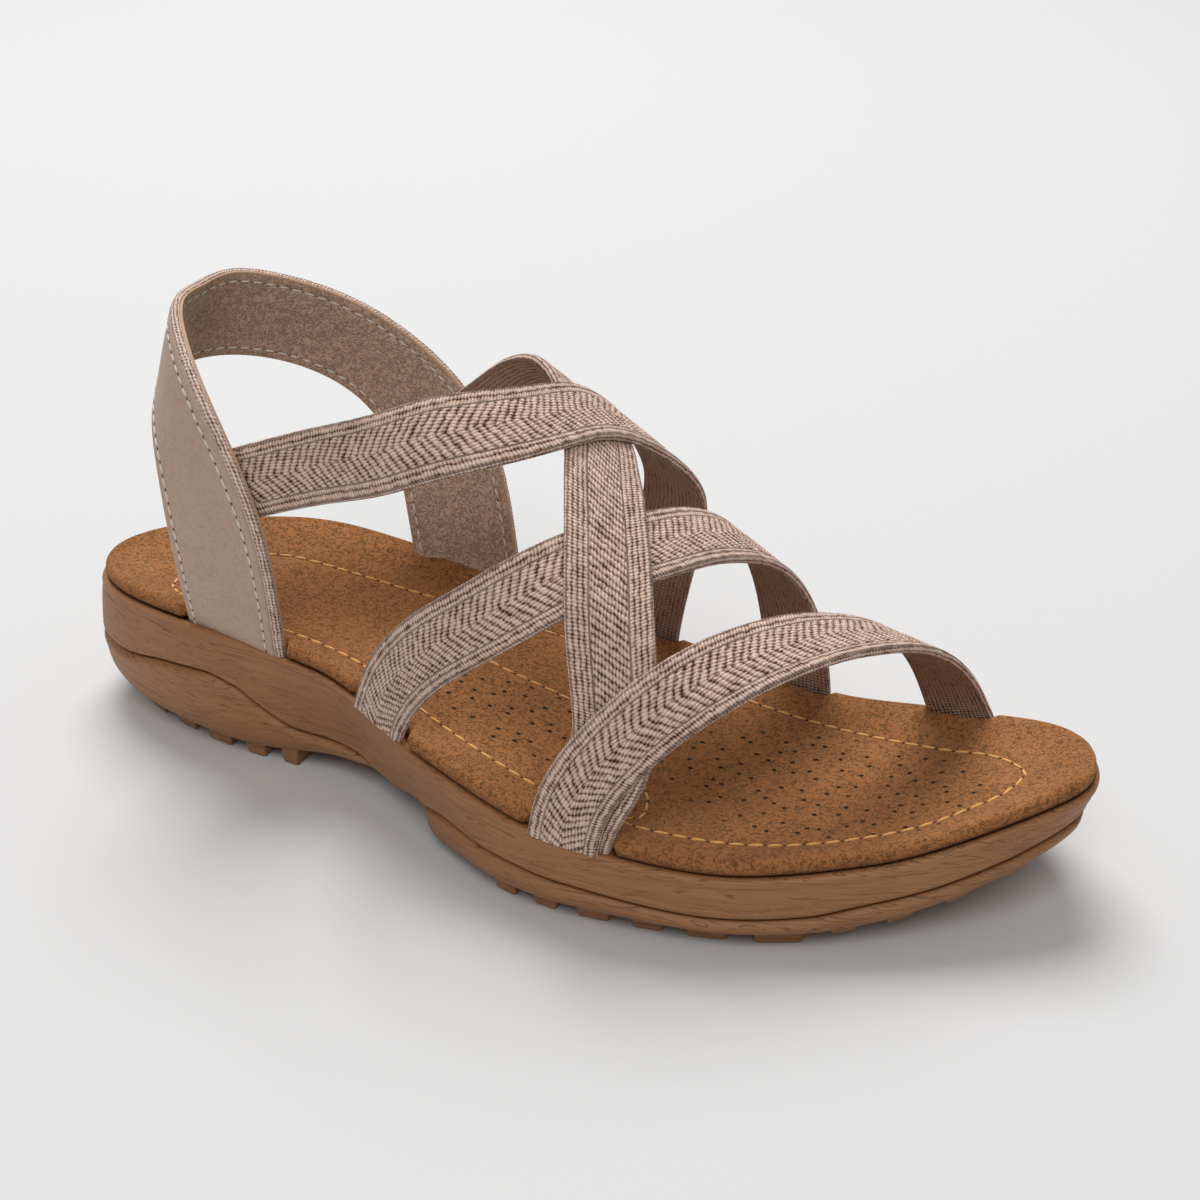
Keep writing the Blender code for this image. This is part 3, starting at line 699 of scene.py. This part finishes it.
body = add(tree, "Mix", {0: cloud, 6: hue("#85502A"), 7: hue("#AC7445")}, out=2, data_type="RGBA")
# painted shade: the dark strokes between the curls; painted highlight: the pale fibre flecks below
curl_shade = add(tree, "Mix", {0: gap, 6: hue("#62401F"), 7: body}, out=2, data_type="RGBA")
nap = add(tree, "Mix", {0: add(tree, "Math", (fibre, 0.14), operation="MULTIPLY"), 6: curl_shade,
                        7: hue("#C08F62")}, out=2, data_type="RGBA")
flat = add(tree, "Mapping", {"Vector": at, "Scale": (1.0, 1.15, 0.0)})
# pits 5.6 mm apart
pit = add(tree, "TexVoronoi", {"Vector": flat, "Scale": 1.0 / 0.0056, "Randomness": 0.7},
          voronoi_dimensions="2D")
hole = add(tree, "MapRange", {"Value": pit, "From Min": 0.075, "From Max": 0.13, "To Min": 1.0,
                              "To Max": 0.0}, interpolation_type="SMOOTHSTEP")
pitted = add(tree, "Math", (hole, add(tree, "Attribute", out=2, attribute_name="field")),
             operation="MULTIPLY")
# painted shade: the pits of the perforated fields get a near black colour
holed = add(tree, "Mix", {0: pitted, 6: nap, 7: hue("#1F120A")}, out=2, data_type="RGBA")
# painted shade: the lower side of the roll is darkened towards a dark red brown
rim_shade = add(tree, "Math", (add(tree, "Attribute", out=2, attribute_name="rim"), 0.75),
          operation="MULTIPLY")
tone = add(tree, "Mix", {0: rim_shade, 6: holed, 7: hue("#55291A")}, out=2, data_type="RGBA")
lying = add(tree, "Math", (gap, add(tree, "Math", (fibre, 0.4), operation="MULTIPLY")),
            operation="ADD")
relief = add(tree, "Math", (lying, add(tree, "Math", (pitted, 3.0), operation="MULTIPLY")),
             operation="SUBTRACT")
close(tree, relief, 0.0003, 0.7, base_color=tone, roughness=0.92, sheen_weight=0.2,
      sheen_roughness=0.5, sheen_tint=hue("#D8B48C"), specular_ior_level=0.2)

foot_bed_piece = drape("foot_bed", bed_places, [brushed_suede], marks={"field": field, "rim": rim})
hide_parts("insole")

# %% [markdown]
# ## Elastic straps
# The elastic is warp-knitted: two corded edges, and between them a herringbone of ribs that
# meet on the middle line. The ribs are real relief in the mesh, a quarter of a millimetre high.
# The loops of thread along each rib are smaller, so they are drawn by the finish. Both read the
# same two numbers, which are kept as a UV map: which rib a place is on, and which loop.

# %% Elastic webbing
EDGE_CORDS = 3.3
RIB = 2.2
LOOP = 0.88
BONE_SLOPE = 0.75


def elastic_finish(name, light, middle, dark, back_colour):
    """Knitted elastic: loops along ribs with painted highlights, painted shade between them, and a
    plainer back.
    """
    finish, tree = start(name)
    pattern = add(tree, "UVMap", uv_map="run")
    at = add(tree, "TexCoord", out=3)
    stray = add(tree, "TexNoise", {"Vector": at, "Scale": 650.0, "Detail": 1.5}, out=1)
    centred = add(tree, "VectorMath", (stray, (0.5, 0.5, 0.5)), operation="SUBTRACT")
    moved = add(tree, "VectorMath", (centred, (0.75, 1.0, 0.0), pattern), operation="MULTIPLY_ADD")
    split = add(tree, "SeparateXYZ", (moved,)).node
    waves = []
    for part in ("X", "Y"):
        turn = add(tree, "Math", (split.outputs[part], math.pi), operation="MULTIPLY")
        swing = add(tree, "Math", (turn,), operation="COSINE")
        waves.append(add(tree, "Math", (swing,), operation="ABSOLUTE"))
    rib, loop = waves
    fuzz = add(tree, "TexNoise", {"Vector": at, "Scale": 1900.0, "Detail": 2.0})
    uneven = add(tree, "TexNoise", {"Vector": at, "Scale": 420.0, "Detail": 2.0})
    bulge = add(tree, "Math", (loop, 0.62), operation="MULTIPLY")
    high = add(tree, "Math", (rib, bulge), operation="ADD")
    rough = add(tree, "Math", (add(tree, "Math", (uneven, 0.5), operation="SUBTRACT"), 1.5),
                operation="MULTIPLY")
    thread = add(tree, "Math", (high, rough), operation="ADD")
    # painted shade: the gaps between the threads get the dark colour, on the front and on the back
    hole = add(tree, "MapRange", {"Value": thread, "From Min": 0.3, "From Max": 0.8},
               interpolation_type="SMOOTHSTEP")
    # painted highlight: the crowns of the threads get the light colour
    crown_highlight = add(tree, "MapRange", {"Value": add(tree, "Math", (thread, fuzz), operation="ADD"),
                                   "From Min": 1.25, "From Max": 2.1},
                interpolation_type="SMOOTHSTEP")
    body = add(tree, "Mix", {0: hole, 6: hue(dark), 7: hue(middle)}, out=2, data_type="RGBA")
    front = add(tree, "Mix", {0: crown_highlight, 6: body, 7: hue(light)}, out=2, data_type="RGBA")
    behind = add(tree, "Mix", {0: hole, 6: hue("#38251D"), 7: hue(back_colour)}, out=2,
                 data_type="RGBA")
    tone = add(tree, "Mix", {0: add(tree, "Attribute", out=2, attribute_name="back"), 6: front,
                             7: behind}, out=2, data_type="RGBA")
    height = add(tree, "Math", (thread, add(tree, "Math", (fuzz, 0.3), operation="MULTIPLY")),
                 operation="ADD")
    close(tree, height, 0.0004, 0.8, base_color=tone, roughness=0.86, sheen_weight=0.2,
          sheen_roughness=0.4, sheen_tint=hue("#E8DCD6"), specular_ior_level=0.25)
    return finish


# colours: painted highlight on the thread crowns, middle tone, painted shade in the gaps, back
herringbone_elastic = elastic_finish("herringbone elastic", "#E0C4B5", "#A98877", "#40261C",
                                     "#AC8A78")


def relax(table, reach):
    """Take small kinks out of a table of places along its rows, ends kept straight."""
    count = int(2.0 * reach)
    weight = np.exp(-0.5 * (np.arange(-count, count + 1) / reach) ** 2)
    weight /= weight.sum()
    before = 2.0 * table[:1] - table[count:0:-1]
    after = 2.0 * table[-1:] - table[-2:-count - 2:-1]
    longer = np.concatenate([before, table, after])
    return sum(w * longer[k:k + len(table)] for k, w in enumerate(weight))


def trim_at_lip(places):
    """End every line along a strap just inside the sole's lip, as if cut along it."""
    above = places[..., 2] - lip(places[..., 0]) + 0.3
    middle_row = len(places) // 2
    for j in range(places.shape[1]):
        for rows in (range(middle_row, 0, -1), range(middle_row, len(places) - 1)):
            step = -1 if rows.step == -1 else 1
            for i in rows:
                if above[i + step, j] < 0.0:
                    part = above[i, j] / (above[i, j] - above[i + step, j])
                    cut = places[i, j] + (places[i + step, j] - places[i, j]) * part
                    if step < 0:
                        places[:i, j] = cut
                    else:
                        places[i + 1:, j] = cut
                    break
    return places


def web(name, piece_name, finish, spacing=0.46, plain=False):
    """One elastic strap as a closed skin with ribs, cords and rounded edges."""
    width = STRAPS[name][0]
    half = width / 2.0
    thick = WEB_THICK / 2.0
    first, final = SPANS[name]
    fine = np.linspace(first, final, 500)
    line = strap_skin(name, fine, np.array([0.0]))[0][:, 0]
    run = np.concatenate([[0.0], np.cumsum(np.linalg.norm(np.diff(line, axis=0), axis=1))])
    along = np.linspace(0.0, run[-1], int(run[-1] / spacing) + 1)
    turns = np.interp(along, run, fine)

    bend = np.radians(np.linspace(90.0, -90.0, 7))[1:-1]
    face = np.linspace(-1.0, 1.0, 41) * (half - thick * 0.8)
    back = np.linspace(1.0, -1.0, 15) * (half - thick * 0.8)
    edge = half - thick * 0.8 + thick * 0.8 * np.cos(bend)
    across = np.concatenate([back[7:], -edge[::-1], face, edge, back[:8]])
    through = np.concatenate([np.full(8, -1.0), np.sin(bend[::-1]), np.ones(41), np.sin(bend),
                              np.full(8, -1.0)]) * thick
    top = np.repeat([0.0, 0.5, 1.0, 0.5, 0.0], [8, 5, 41, 5, 8])
    girth = np.concatenate([[0.0], np.cumsum(np.hypot(np.diff(across), np.diff(through)))])

    s, t = np.meshgrid(along, across, indexing="ij")
    on_top = np.tile(top, (len(along), 1))
    inward = half - np.abs(t)
    if plain:
        cords = 5.4
        bone = (s + 0.9 * t) / 1.9
        bone_loop = (t - 0.35 * s) / 0.95
    else:
        cords = EDGE_CORDS
        bone = (s - BONE_SLOPE * np.abs(t)) / RIB
        bone_loop = np.abs(t) * math.hypot(1.0, BONE_SLOPE) / LOOP
    bone_loop = bone_loop + 0.5 * bone
    cord = 1.25 if plain else 1.5
    rib = np.where(inward > cords, bone, inward / cord)
    loop = np.where(inward > cords, bone_loop, s / 0.84 + 0.5 * inward / cord)
    rib = np.where(on_top == 1.0, rib, np.where(on_top == 0.5, girth, t / 1.1))
    loop = np.where(on_top == 1.0, loop, s / 0.84)

    ridge = np.abs(np.cos(math.pi * rib)) ** 0.8
    depth = np.where(inward > cords, 0.26 if not plain else 0.14, 0.04)
    seam = np.exp(-((inward - cords) / 0.38) ** 2)
    proud = (ridge - 1.0) * depth - 0.15 * seam + 0.12 * (1.0 - (t / half) ** 2)
    proud += 0.1 * np.exp(-((inward - 1.6) / 1.2) ** 2)
    height = through[None, :] + np.where(on_top == 1.0, proud, 0.0)
    height += np.where(on_top == 0.0, 0.12 * ridge, 0.0)

    places, normals = strap_skin(name, turns, across)
    places = relax(places, 5.0 / spacing)
    normals = relax(normals, 5.0 / spacing)
    places = places + normals * height[..., None]
    places = trim_at_lip(places)
    marks = {"back": 1.0 * (on_top == 0.0)}
    piece = drape(piece_name, places, [finish], run=np.stack([rib, loop], -1), marks=marks)
    return piece


# %% [markdown]
# The diagonal strap is knitted with another face: tiny crossed stitches with broken twill lines
# in the middle. It is the same elastic, so it shares the finish function and has its own
# numbers.

# %% The four straps
# colours: painted highlight on the thread crowns, middle tone, painted shade in the gaps, back
cross_stitch_elastic = elastic_finish("cross stitch elastic", "#E0C4B5", "#A98877", "#42281E",
                                      "#AC8A78")
straps = [web("diagonal", "diagonal_strap", cross_stitch_elastic, plain=True)]
for name in ("middle", "toe", "instep"):
    straps.append(web(name, f"{name}_strap", herringbone_elastic))
for strap in straps:
    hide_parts("cross_straps")

# %% [markdown]
# ## Heel strap
# The heel strap is two layers of smooth leather sewn together, with a knitted binding and a
# thin roll of piping between them along both edges. One half was drawn and mirrored on the real
# pattern, then turned forwards on the inner side. Its section has a column for each of these,
# so each face knows its own finish: leather outside, binding, piping, lining inside.

# %% Leather, lining, binding and piping


def leather_finish(name, light, dark, grain, wrinkle, strength, roughness):
    """Smooth leather with fine grain cells, and painted shade in its creases."""
    finish, tree = start(name)
    at = add(tree, "TexCoord", out=3)
    cloud = add(tree, "TexNoise", {"Vector": at, "Scale": 38.0, "Detail": 4.0})
    cell = add(tree, "TexVoronoi", {"Vector": at, "Scale": grain}, feature="SMOOTH_F1")
    fold = add(tree, "TexNoise", {"Vector": at, "Scale": wrinkle, "Detail": 4.0,
                                  "Distortion": 1.4})
    thin = add(tree, "Math", (add(tree, "Math", (fold, 0.5), operation="SUBTRACT"),),
               operation="ABSOLUTE")
    crease = add(tree, "MapRange", {"Value": thin, "From Max": 0.07},
                 interpolation_type="SMOOTHSTEP")
    body = add(tree, "Mix", {0: cloud, 6: hue(dark), 7: hue(light)}, out=2, data_type="RGBA")
    # painted shade: the creases are darkened towards a dark brown
    depth = add(tree, "MapRange", {"Value": crease, "To Min": 0.7 * strength, "To Max": 0.0})
    tone = add(tree, "Mix", {0: depth, 6: body, 7: hue("#3A2E27")}, out=2, data_type="RGBA")
    relief = add(tree, "Math", (crease, add(tree, "Math", (cell, 0.6), operation="MULTIPLY")),
                 operation="ADD")
    close(tree, relief, 0.00022, strength, base_color=tone, roughness=roughness,
          coat_weight=0.08, coat_roughness=0.45)
    return finish


# grain cells 0.9 and 0.8 mm apart, wrinkles 3.8 and 1.6 mm apart
taupe_leather = leather_finish("smooth taupe leather", "#BEA38F", "#AB907D", 1100.0, 260.0,
                               0.16, 0.5)
lining_leather = leather_finish("wrinkled lining leather", "#CFB099", "#B79984", 1300.0, 620.0,
                                0.7, 0.6)

# colours: painted highlight on the thread crowns, middle tone, painted shade in the gaps, back
knit_binding = elastic_finish("knitted binding", "#E6CEC0", "#C3A696", "#6B4D41", "#7A5F52")

edge_piping, tree = start("rolled leather piping")
at = add(tree, "TexCoord", out=3)
cloud = add(tree, "TexNoise", {"Vector": at, "Scale": 260.0, "Detail": 3.0})
tone = add(tree, "Mix", {0: cloud, 6: hue("#A98467"), 7: hue("#C9A689")}, out=2, data_type="RGBA")
close(tree, cloud, 0.0002, 0.4, base_color=tone, roughness=0.55)

# %% [markdown]
# ## Path of the heel strap
# The strap stands at both sides of the heel and leans back round it. It could be bent from a
# flat strip, but its two edges have different lengths, so each edge has its own line in space.
# A natural spline runs through both, because a strap bends as evenly as it can.

# %% Shape of the heel strap
HEEL_STRAP = (
    # share from behind the heel down to the sole, front edge x, half width, z, rear edge x, half
    # width, z
    (0.0, 33.5, 0.0, 119.0, 24.5, 0.0, 96.0), (0.2, 34.5, 11.5, 118.5, 27.5, 11.5, 95.0),
    (0.4, 42.0, 22.5, 113.5, 33.0, 23.5, 90.5), (0.6, 54.5, 32.5, 101.5, 39.0, 32.5, 81.5),
    (0.8, 68.5, 37.5, 74.5, 41.5, 35.0, 65.0), (1.0, 68.0, 31.5, 34.5, 38.5, 27.5, 37.5),
)
HEEL_STRAP_SHIFT = (34.0, 3.0, 2.5)
HEEL_STRAP_END = 1.05


def spline(xs, ys, x):
    """Natural cubic spline through the points (xs, ys)."""
    n = len(xs)
    h = np.diff(xs)
    system = np.eye(n)
    right = np.zeros(n)
    for i in range(1, n - 1):
        system[i, i - 1:i + 2] = (h[i - 1], 2.0 * (h[i - 1] + h[i]), h[i])
        right[i] = 6.0 * ((ys[i + 1] - ys[i]) / h[i] - (ys[i] - ys[i - 1]) / h[i - 1])
    bend = np.linalg.solve(system, right)
    k = np.clip(np.searchsorted(xs, x) - 1, 0, n - 2)
    a = (xs[k + 1] - x) / h[k]
    b = (x - xs[k]) / h[k]
    return (a * ys[k] + b * ys[k + 1]
            + ((a ** 3 - a) * bend[k] + (b ** 3 - b) * bend[k + 1]) * h[k] ** 2 / 6.0)


def heel_edge(column, turns):
    """One edge of the heel strap; turn runs from -1 at the outer end to 1 at the inner end."""
    shares = np.array([row[0] for row in HEEL_STRAP])
    knots = np.concatenate([-shares[:0:-1], shares])
    x, half_width, z = (np.array([row[column + k] for row in HEEL_STRAP]) for k in range(3))
    inner = np.where(turns > 0.0, turns ** 2, 0.0)
    shift_x, shift_y, shift_z = HEEL_STRAP_SHIFT
    return np.stack([
        spline(knots, np.concatenate([x[:0:-1], x]), turns) + shift_x * inner,
        spline(knots, np.concatenate([-half_width[:0:-1], half_width]), turns)
        + shift_y * turns ** 2,
        spline(knots, np.concatenate([z[:0:-1], z]), turns) + shift_z * inner], 1)


def heel_frame(turns):
    """Middle of the strap, direction to the front edge, half the width and outward normal."""
    front = heel_edge(1, turns)
    rear = heel_edge(4, turns)
    across = front - rear
    length = np.linalg.norm(across, axis=1)[:, None]
    across /= length
    run = np.gradient(front + rear, axis=0)
    normal = np.cross(run, across)
    normal /= np.linalg.norm(normal, axis=1)[:, None]
    middle = (front + rear) / 2.0
    away = middle - np.array([50.0, 0.0, 70.0])
    normal *= np.sign((normal[:, :2] * away[:, :2]).sum(1))[:, None]
    return middle, across, length[:, 0] / 2.0, normal


# %% [markdown]
# ## Section of the heel strap
# Binding and piping could be separate tubes along the edges. Sewn into one strap they meet
# without a gap, so they are columns of the same section, and a zone number tells each face its
# finish.

# %% Section of the heel strap: sewn grooves, binding and piping
FRONT_SEAM = 4.5
REAR_SEAM = 2.3
LINING_SEAM = 2.8
# beyond the edge, height through the thickness, finish: 0 leather, 1 binding, 2 piping, 3 lining
EDGE_PROFILE = (
    (-0.75, 1.6, 0), (-0.35, 1.52, 0), (-0.1, 1.32, 0), (-0.02, 1.1, 0), (-0.3, 0.95, 1),
    (0.0, 0.72, 1), (0.14, 0.4, 1), (0.18, 0.0, 1), (0.12, -0.35, 1), (-0.05, -0.62, 1),
    (-0.34, -0.76, 2), (-0.08, -0.92, 2), (0.0, -1.14, 2), (-0.12, -1.36, 2), (-0.42, -1.46, 2),
    (-0.66, -1.36, 3), (-1.0, -1.5, 3),
)
FRONT_PROFILE = (
    (-3.0, 1.6, 0), (-2.5, 1.6, 0), (-2.2, 1.5, 0), (-2.05, 1.25, 0), (-1.95, 1.05, 1),
    (-1.65, 1.3, 1), (-1.2, 1.38, 1), (-0.75, 1.2, 1), (-0.3, 0.9, 1), (0.0, 0.5, 1),
    (0.12, 0.05, 1), (0.05, -0.35, 1), (-0.12, -0.62, 1),
) + EDGE_PROFILE[10:]
SEAM_STEPS = (1.5, 0.7, 0.3, 0.0, -0.3, -0.7)
FACE = np.linspace(-1.0, 1.0, 15)


def seam_dip(step):
    """Depth of the groove that a seam pulls, at a distance from it."""
    return 0.22 * math.exp(-(step / 0.45) ** 2)


def heel_section():
    """Columns as (share of the half width, offset in mm, height, finish) round the section."""
    columns = []
    for share in FACE:
        columns.append((share, -6.5 * share, 1.6 + 0.1 * (1.0 - share ** 2), 0))
    for step in SEAM_STEPS:
        columns.append((1.0, -FRONT_SEAM - step, 1.6 - seam_dip(step), 0))
    columns += [(1.0, beyond, height, zone) for beyond, height, zone in FRONT_PROFILE]
    for step in SEAM_STEPS[::-1]:
        columns.append((1.0, -LINING_SEAM - step, -1.5 + seam_dip(step), 3))
    for share in FACE[::-1]:
        columns.append((share, -6.5 * share, -1.5, 3))
    for step in SEAM_STEPS:
        columns.append((-1.0, REAR_SEAM + step, -1.5 + seam_dip(step), 3))
    columns += [(-1.0, -beyond, height, max(zone, 1) if zone else 0)
                for beyond, height, zone in EDGE_PROFILE[::-1]]
    for step in SEAM_STEPS[::-1]:
        columns.append((-1.0, REAR_SEAM + step, 1.6 - seam_dip(step), 0))
    columns.append(columns[0])
    return columns


heel_turns = np.linspace(-HEEL_STRAP_END, HEEL_STRAP_END, 381)
middle, across, half_width, normal = heel_frame(heel_turns)
columns = heel_section()
skin = []
for share, offset, height, zone in columns:
    away = share * half_width + offset
    skin.append(middle + across * away[:, None] + normal * height)
zones = [column[3] for column in columns]
shape = np.stack(skin, 1)
round_it = np.linalg.norm(np.diff(shape[190], axis=0), axis=1)
along_it = np.linalg.norm(np.diff(middle, axis=0), axis=1)
knit = np.meshgrid(np.concatenate([[0.0], np.cumsum(along_it)]) / 0.85,
                   np.concatenate([[0.0], np.cumsum(round_it)]) / 1.0, indexing="ij")
heel_strap = drape("heel_strap_leather", shape,
                   [taupe_leather, knit_binding, edge_piping, lining_leather], zones=zones,
                   run=np.stack([knit[1], knit[0] + 0.5 * knit[1]], -1))
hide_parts("heel_strap")

# %% [markdown]
# ## Stitches
# Sewing thread shows as one long bead per stitch, pulled a little into the material, with a
# needle hole at each end. A small sphere is stretched along the seam for each stitch, and a
# flat dark one is set between two stitches: painted shade for the needle hole.

# %% Thread and needle holes


def thread_finish(name, light, dark):
    """Twisted polyester thread."""
    finish, tree = start(name)
    at = add(tree, "TexCoord", out=3)
    twist = add(tree, "TexNoise", {"Vector": at, "Scale": 2400.0, "Detail": 2.0})
    tone = add(tree, "Mix", {0: twist, 6: hue(dark), 7: hue(light)}, out=2, data_type="RGBA")
    close(tree, twist, 0.0001, 0.5, base_color=tone, roughness=0.6, sheen_weight=0.2)
    return finish


white_thread = thread_finish("off white polyester thread", "#EDE6DE", "#B5AAA0")
orange_thread = thread_finish("golden polyester thread", "#F3BA6C", "#C58540")
# painted shade: the needle holes are flat near black spheres
needle_hole_shade, tree = start("needle hole shade")
at = add(tree, "TexCoord", out=3)
speck = add(tree, "TexNoise", {"Vector": at, "Scale": 1500.0})
tone = add(tree, "Mix", {0: speck, 6: hue("#1C130E"), 7: hue("#33241B")}, out=2, data_type="RGBA")
close(tree, speck, 0.0001, 0.3, base_color=tone, roughness=0.9)


def sew(name, line, up, pitch, share, radius, finish, slant=0.0, sink=0.0):
    """A row of stitches along a line of places with upward directions, in millimetres."""
    run = np.concatenate([[0.0], np.cumsum(np.linalg.norm(np.diff(line, axis=0), axis=1))])
    count = max(1, int(round(run[-1] / pitch)))
    gap = run[-1] / count

    def at(s, table):
        return Vector([float(np.interp(s, run, table[:, k])) for k in range(3)])

    bm = bmesh.new()
    for i in range(count):
        for centre, kind in ((i + 0.5, 0), (i + 1.0, 1)):
            s = centre * gap
            spot = at(s, line)
            along = (at(s + 0.6, line) - at(s - 0.6, line)).normalized()
            out = at(s, up).normalized()
            beside = out.cross(along).normalized()
            along = (along + beside * slant).normalized()
            beside = out.cross(along).normalized()
            if kind == 0:
                size = (radius * 1.1, radius, gap * share / 2.0)
                lift = radius * 0.35 - sink
            else:
                size = (radius, radius * 0.5, radius)
                lift = -sink
            turn = Matrix((beside * size[0], out * size[1], along * size[2])).transposed()
            place = (spot + out * lift + Vector(PLACE)) * MM
            matrix = Matrix.Translation(place) @ (turn * MM).to_4x4()
            made = bmesh.ops.create_uvsphere(bm, u_segments=8, v_segments=6, radius=1.0,
                                             matrix=matrix)
            for face in {face for vert in made["verts"] for face in vert.link_faces}:
                face.material_index = kind
                face.smooth = True
    # the sphere operator leaves its faces in another order each run, so they are put in one order
    bm.verts.index_update()
    total = len(bm.verts)

    def rank(face):
        low = sorted(vert.index for vert in face.verts)
        return (low[0] * total + low[1]) * total + low[2]

    bm.faces.sort(key=rank)
    bmesh.ops.recalc_face_normals(bm, faces=bm.faces)
    piece = settle(name, bm, [finish, needle_hole_shade])
    return piece


# %% [markdown]
# ## Where the sewing goes
# On the heel strap two rows of light stitches run a few millimetres inside the edges, outside
# and inside. The foot bed has golden thread along the lines that were pressed into it. A
# texture of dashes would be quicker, but beads catch the light and keep their size on every
# bend.

# %% Sewing of the heel strap
seam_turns = heel_turns[8:-8]
middle, across, half_width, normal = heel_frame(seam_turns)
for label, sign, inset, inner_inset in (("front", 1.0, FRONT_SEAM, LINING_SEAM),
                                        ("rear", -1.0, REAR_SEAM, REAR_SEAM)):
    line = middle + across * (sign * (half_width - inset))[:, None]
    sew(f"{label}_seam_outside", line + normal * 1.4, normal, 3.4, 0.74, 0.3, white_thread,
        slant=0.1)
    line = middle + across * (sign * (half_width - inner_inset))[:, None]
    sew(f"{label}_seam_inside", line - normal * 1.3, -normal, 3.4, 0.72, 0.28, white_thread,
        slant=0.1, sink=0.08)

# %% Sewing of the foot bed


def bed_height(spots):
    """Height of the pad's top at places on the plan."""
    x, y = spots[:, 0], spots[:, 1]
    return lip(x) + BED_THICK - dish(x, y) - pad_sink(x, y)


for label, line in sewn.items():
    lifted = np.column_stack([line, bed_height(line) - 0.5])
    upward = np.tile([0.0, 0.0, 1.0], (len(line), 1))
    sew(f"bed_sewing_{label}", lifted, upward, 4.3, 0.82, 0.36, orange_thread, slant=0.06)

# %% [markdown]
# ## Floor, light and camera
# The picture is a plain studio shot: a near white floor, a large soft light from above and
# behind, a weaker one from the front, and a pale surrounding that fills the shadows. A curved
# backdrop would also do; a flat floor that runs far past the picture is simpler and looks the
# same from above.

# %% Floor
paper, tree = start("white studio paper")
at = add(tree, "TexCoord", out=3)
tooth = add(tree, "TexNoise", {"Vector": at, "Scale": 900.0, "Detail": 2.0})
tone = add(tree, "Mix", {0: tooth, 6: hue("#D0D0D0"), 7: hue("#D4D4D4")}, out=2, data_type="RGBA")
close(tree, tooth, 0.00005, 0.05, base_color=tone, roughness=0.9, specular_ior_level=0.2)
bm = bmesh.new()
bmesh.ops.create_grid(bm, x_segments=8, y_segments=8, size=4.0)
mesh = bpy.data.meshes.new("studio_floor")
bm.to_mesh(mesh)
bm.free()
mesh.materials.append(paper)
floor = bpy.data.objects.new("studio_floor", mesh)
bpy.context.scene.collection.objects.link(floor)

# %% [markdown]
# ## Light
# Soft light from two large discs shows relief without hard shadows. Bare sun lamps would draw
# hard ones, and a lit surrounding alone would show no relief, so the discs are joined by a weak
# one.

# %% Light


def soft_light(name, place, size, power, aim=(0.0, 0.0, 0.04)):
    """A round area lamp that looks at the shoe."""
    lamp = bpy.data.lights.new(name, "AREA")
    lamp.shape = "DISK"
    lamp.size = size
    lamp.energy = power
    item = bpy.data.objects.new(name, lamp)
    item.location = place
    item.rotation_euler = (Vector(aim) - Vector(place)).to_track_quat("-Z", "Y").to_euler()
    bpy.context.scene.collection.objects.link(item)


soft_light("key_light", (-0.6, 0.9, 2.0), 1.5, 46.0)
soft_light("front_fill", (0.5, -1.7, 2.2), 1.5, 27.0)
world = bpy.data.worlds.new("studio")
bpy.context.scene.world = world
world.use_nodes = True
world.node_tree.nodes["Background"].inputs["Color"].default_value = hue("#F7F5F3")
world.node_tree.nodes["Background"].inputs["Strength"].default_value = 0.31
bpy.context.scene.view_settings.view_transform = "Standard"

# %% [markdown]
# ## Camera
# The camera stands where the photograph was taken, found by fitting the sole's outline to it:
# about 24 degrees round from the side and 28 degrees up. It is level, so turn and rise are
# enough.

# %% Camera
# degrees round from the side and up, metres away from the floor point in the picture's middle
CAMERA_ROUND = math.radians(24.39)
CAMERA_RISE = math.radians(28.18)
CAMERA_AWAY = 0.62
CAMERA_AIM = Vector((-0.0296, 0.099, 0.0))
camera_back = Vector((math.sin(CAMERA_ROUND) * math.cos(CAMERA_RISE),
                      -math.cos(CAMERA_ROUND) * math.cos(CAMERA_RISE), math.sin(CAMERA_RISE)))
camera_right = Vector((math.cos(CAMERA_ROUND), math.sin(CAMERA_ROUND), 0.0))
eye = bpy.data.cameras.new("photo_camera")
eye.lens = 62.784
eye.sensor_width = 36.0
eye.sensor_fit = "HORIZONTAL"
eye.clip_start = 0.01
camera = bpy.data.objects.new("photo_camera", eye)
turn = Matrix((camera_right, camera_back.cross(camera_right), camera_back)).transposed().to_4x4()
camera.matrix_world = Matrix.Translation(CAMERA_AIM + camera_back * CAMERA_AWAY) @ turn
bpy.context.scene.collection.objects.link(camera)
bpy.context.scene.camera = camera
spot = [round(value, 3) for value in camera.matrix_world.translation]
print("camera with", round(eye.lens, 1), "mm lens at", spot)
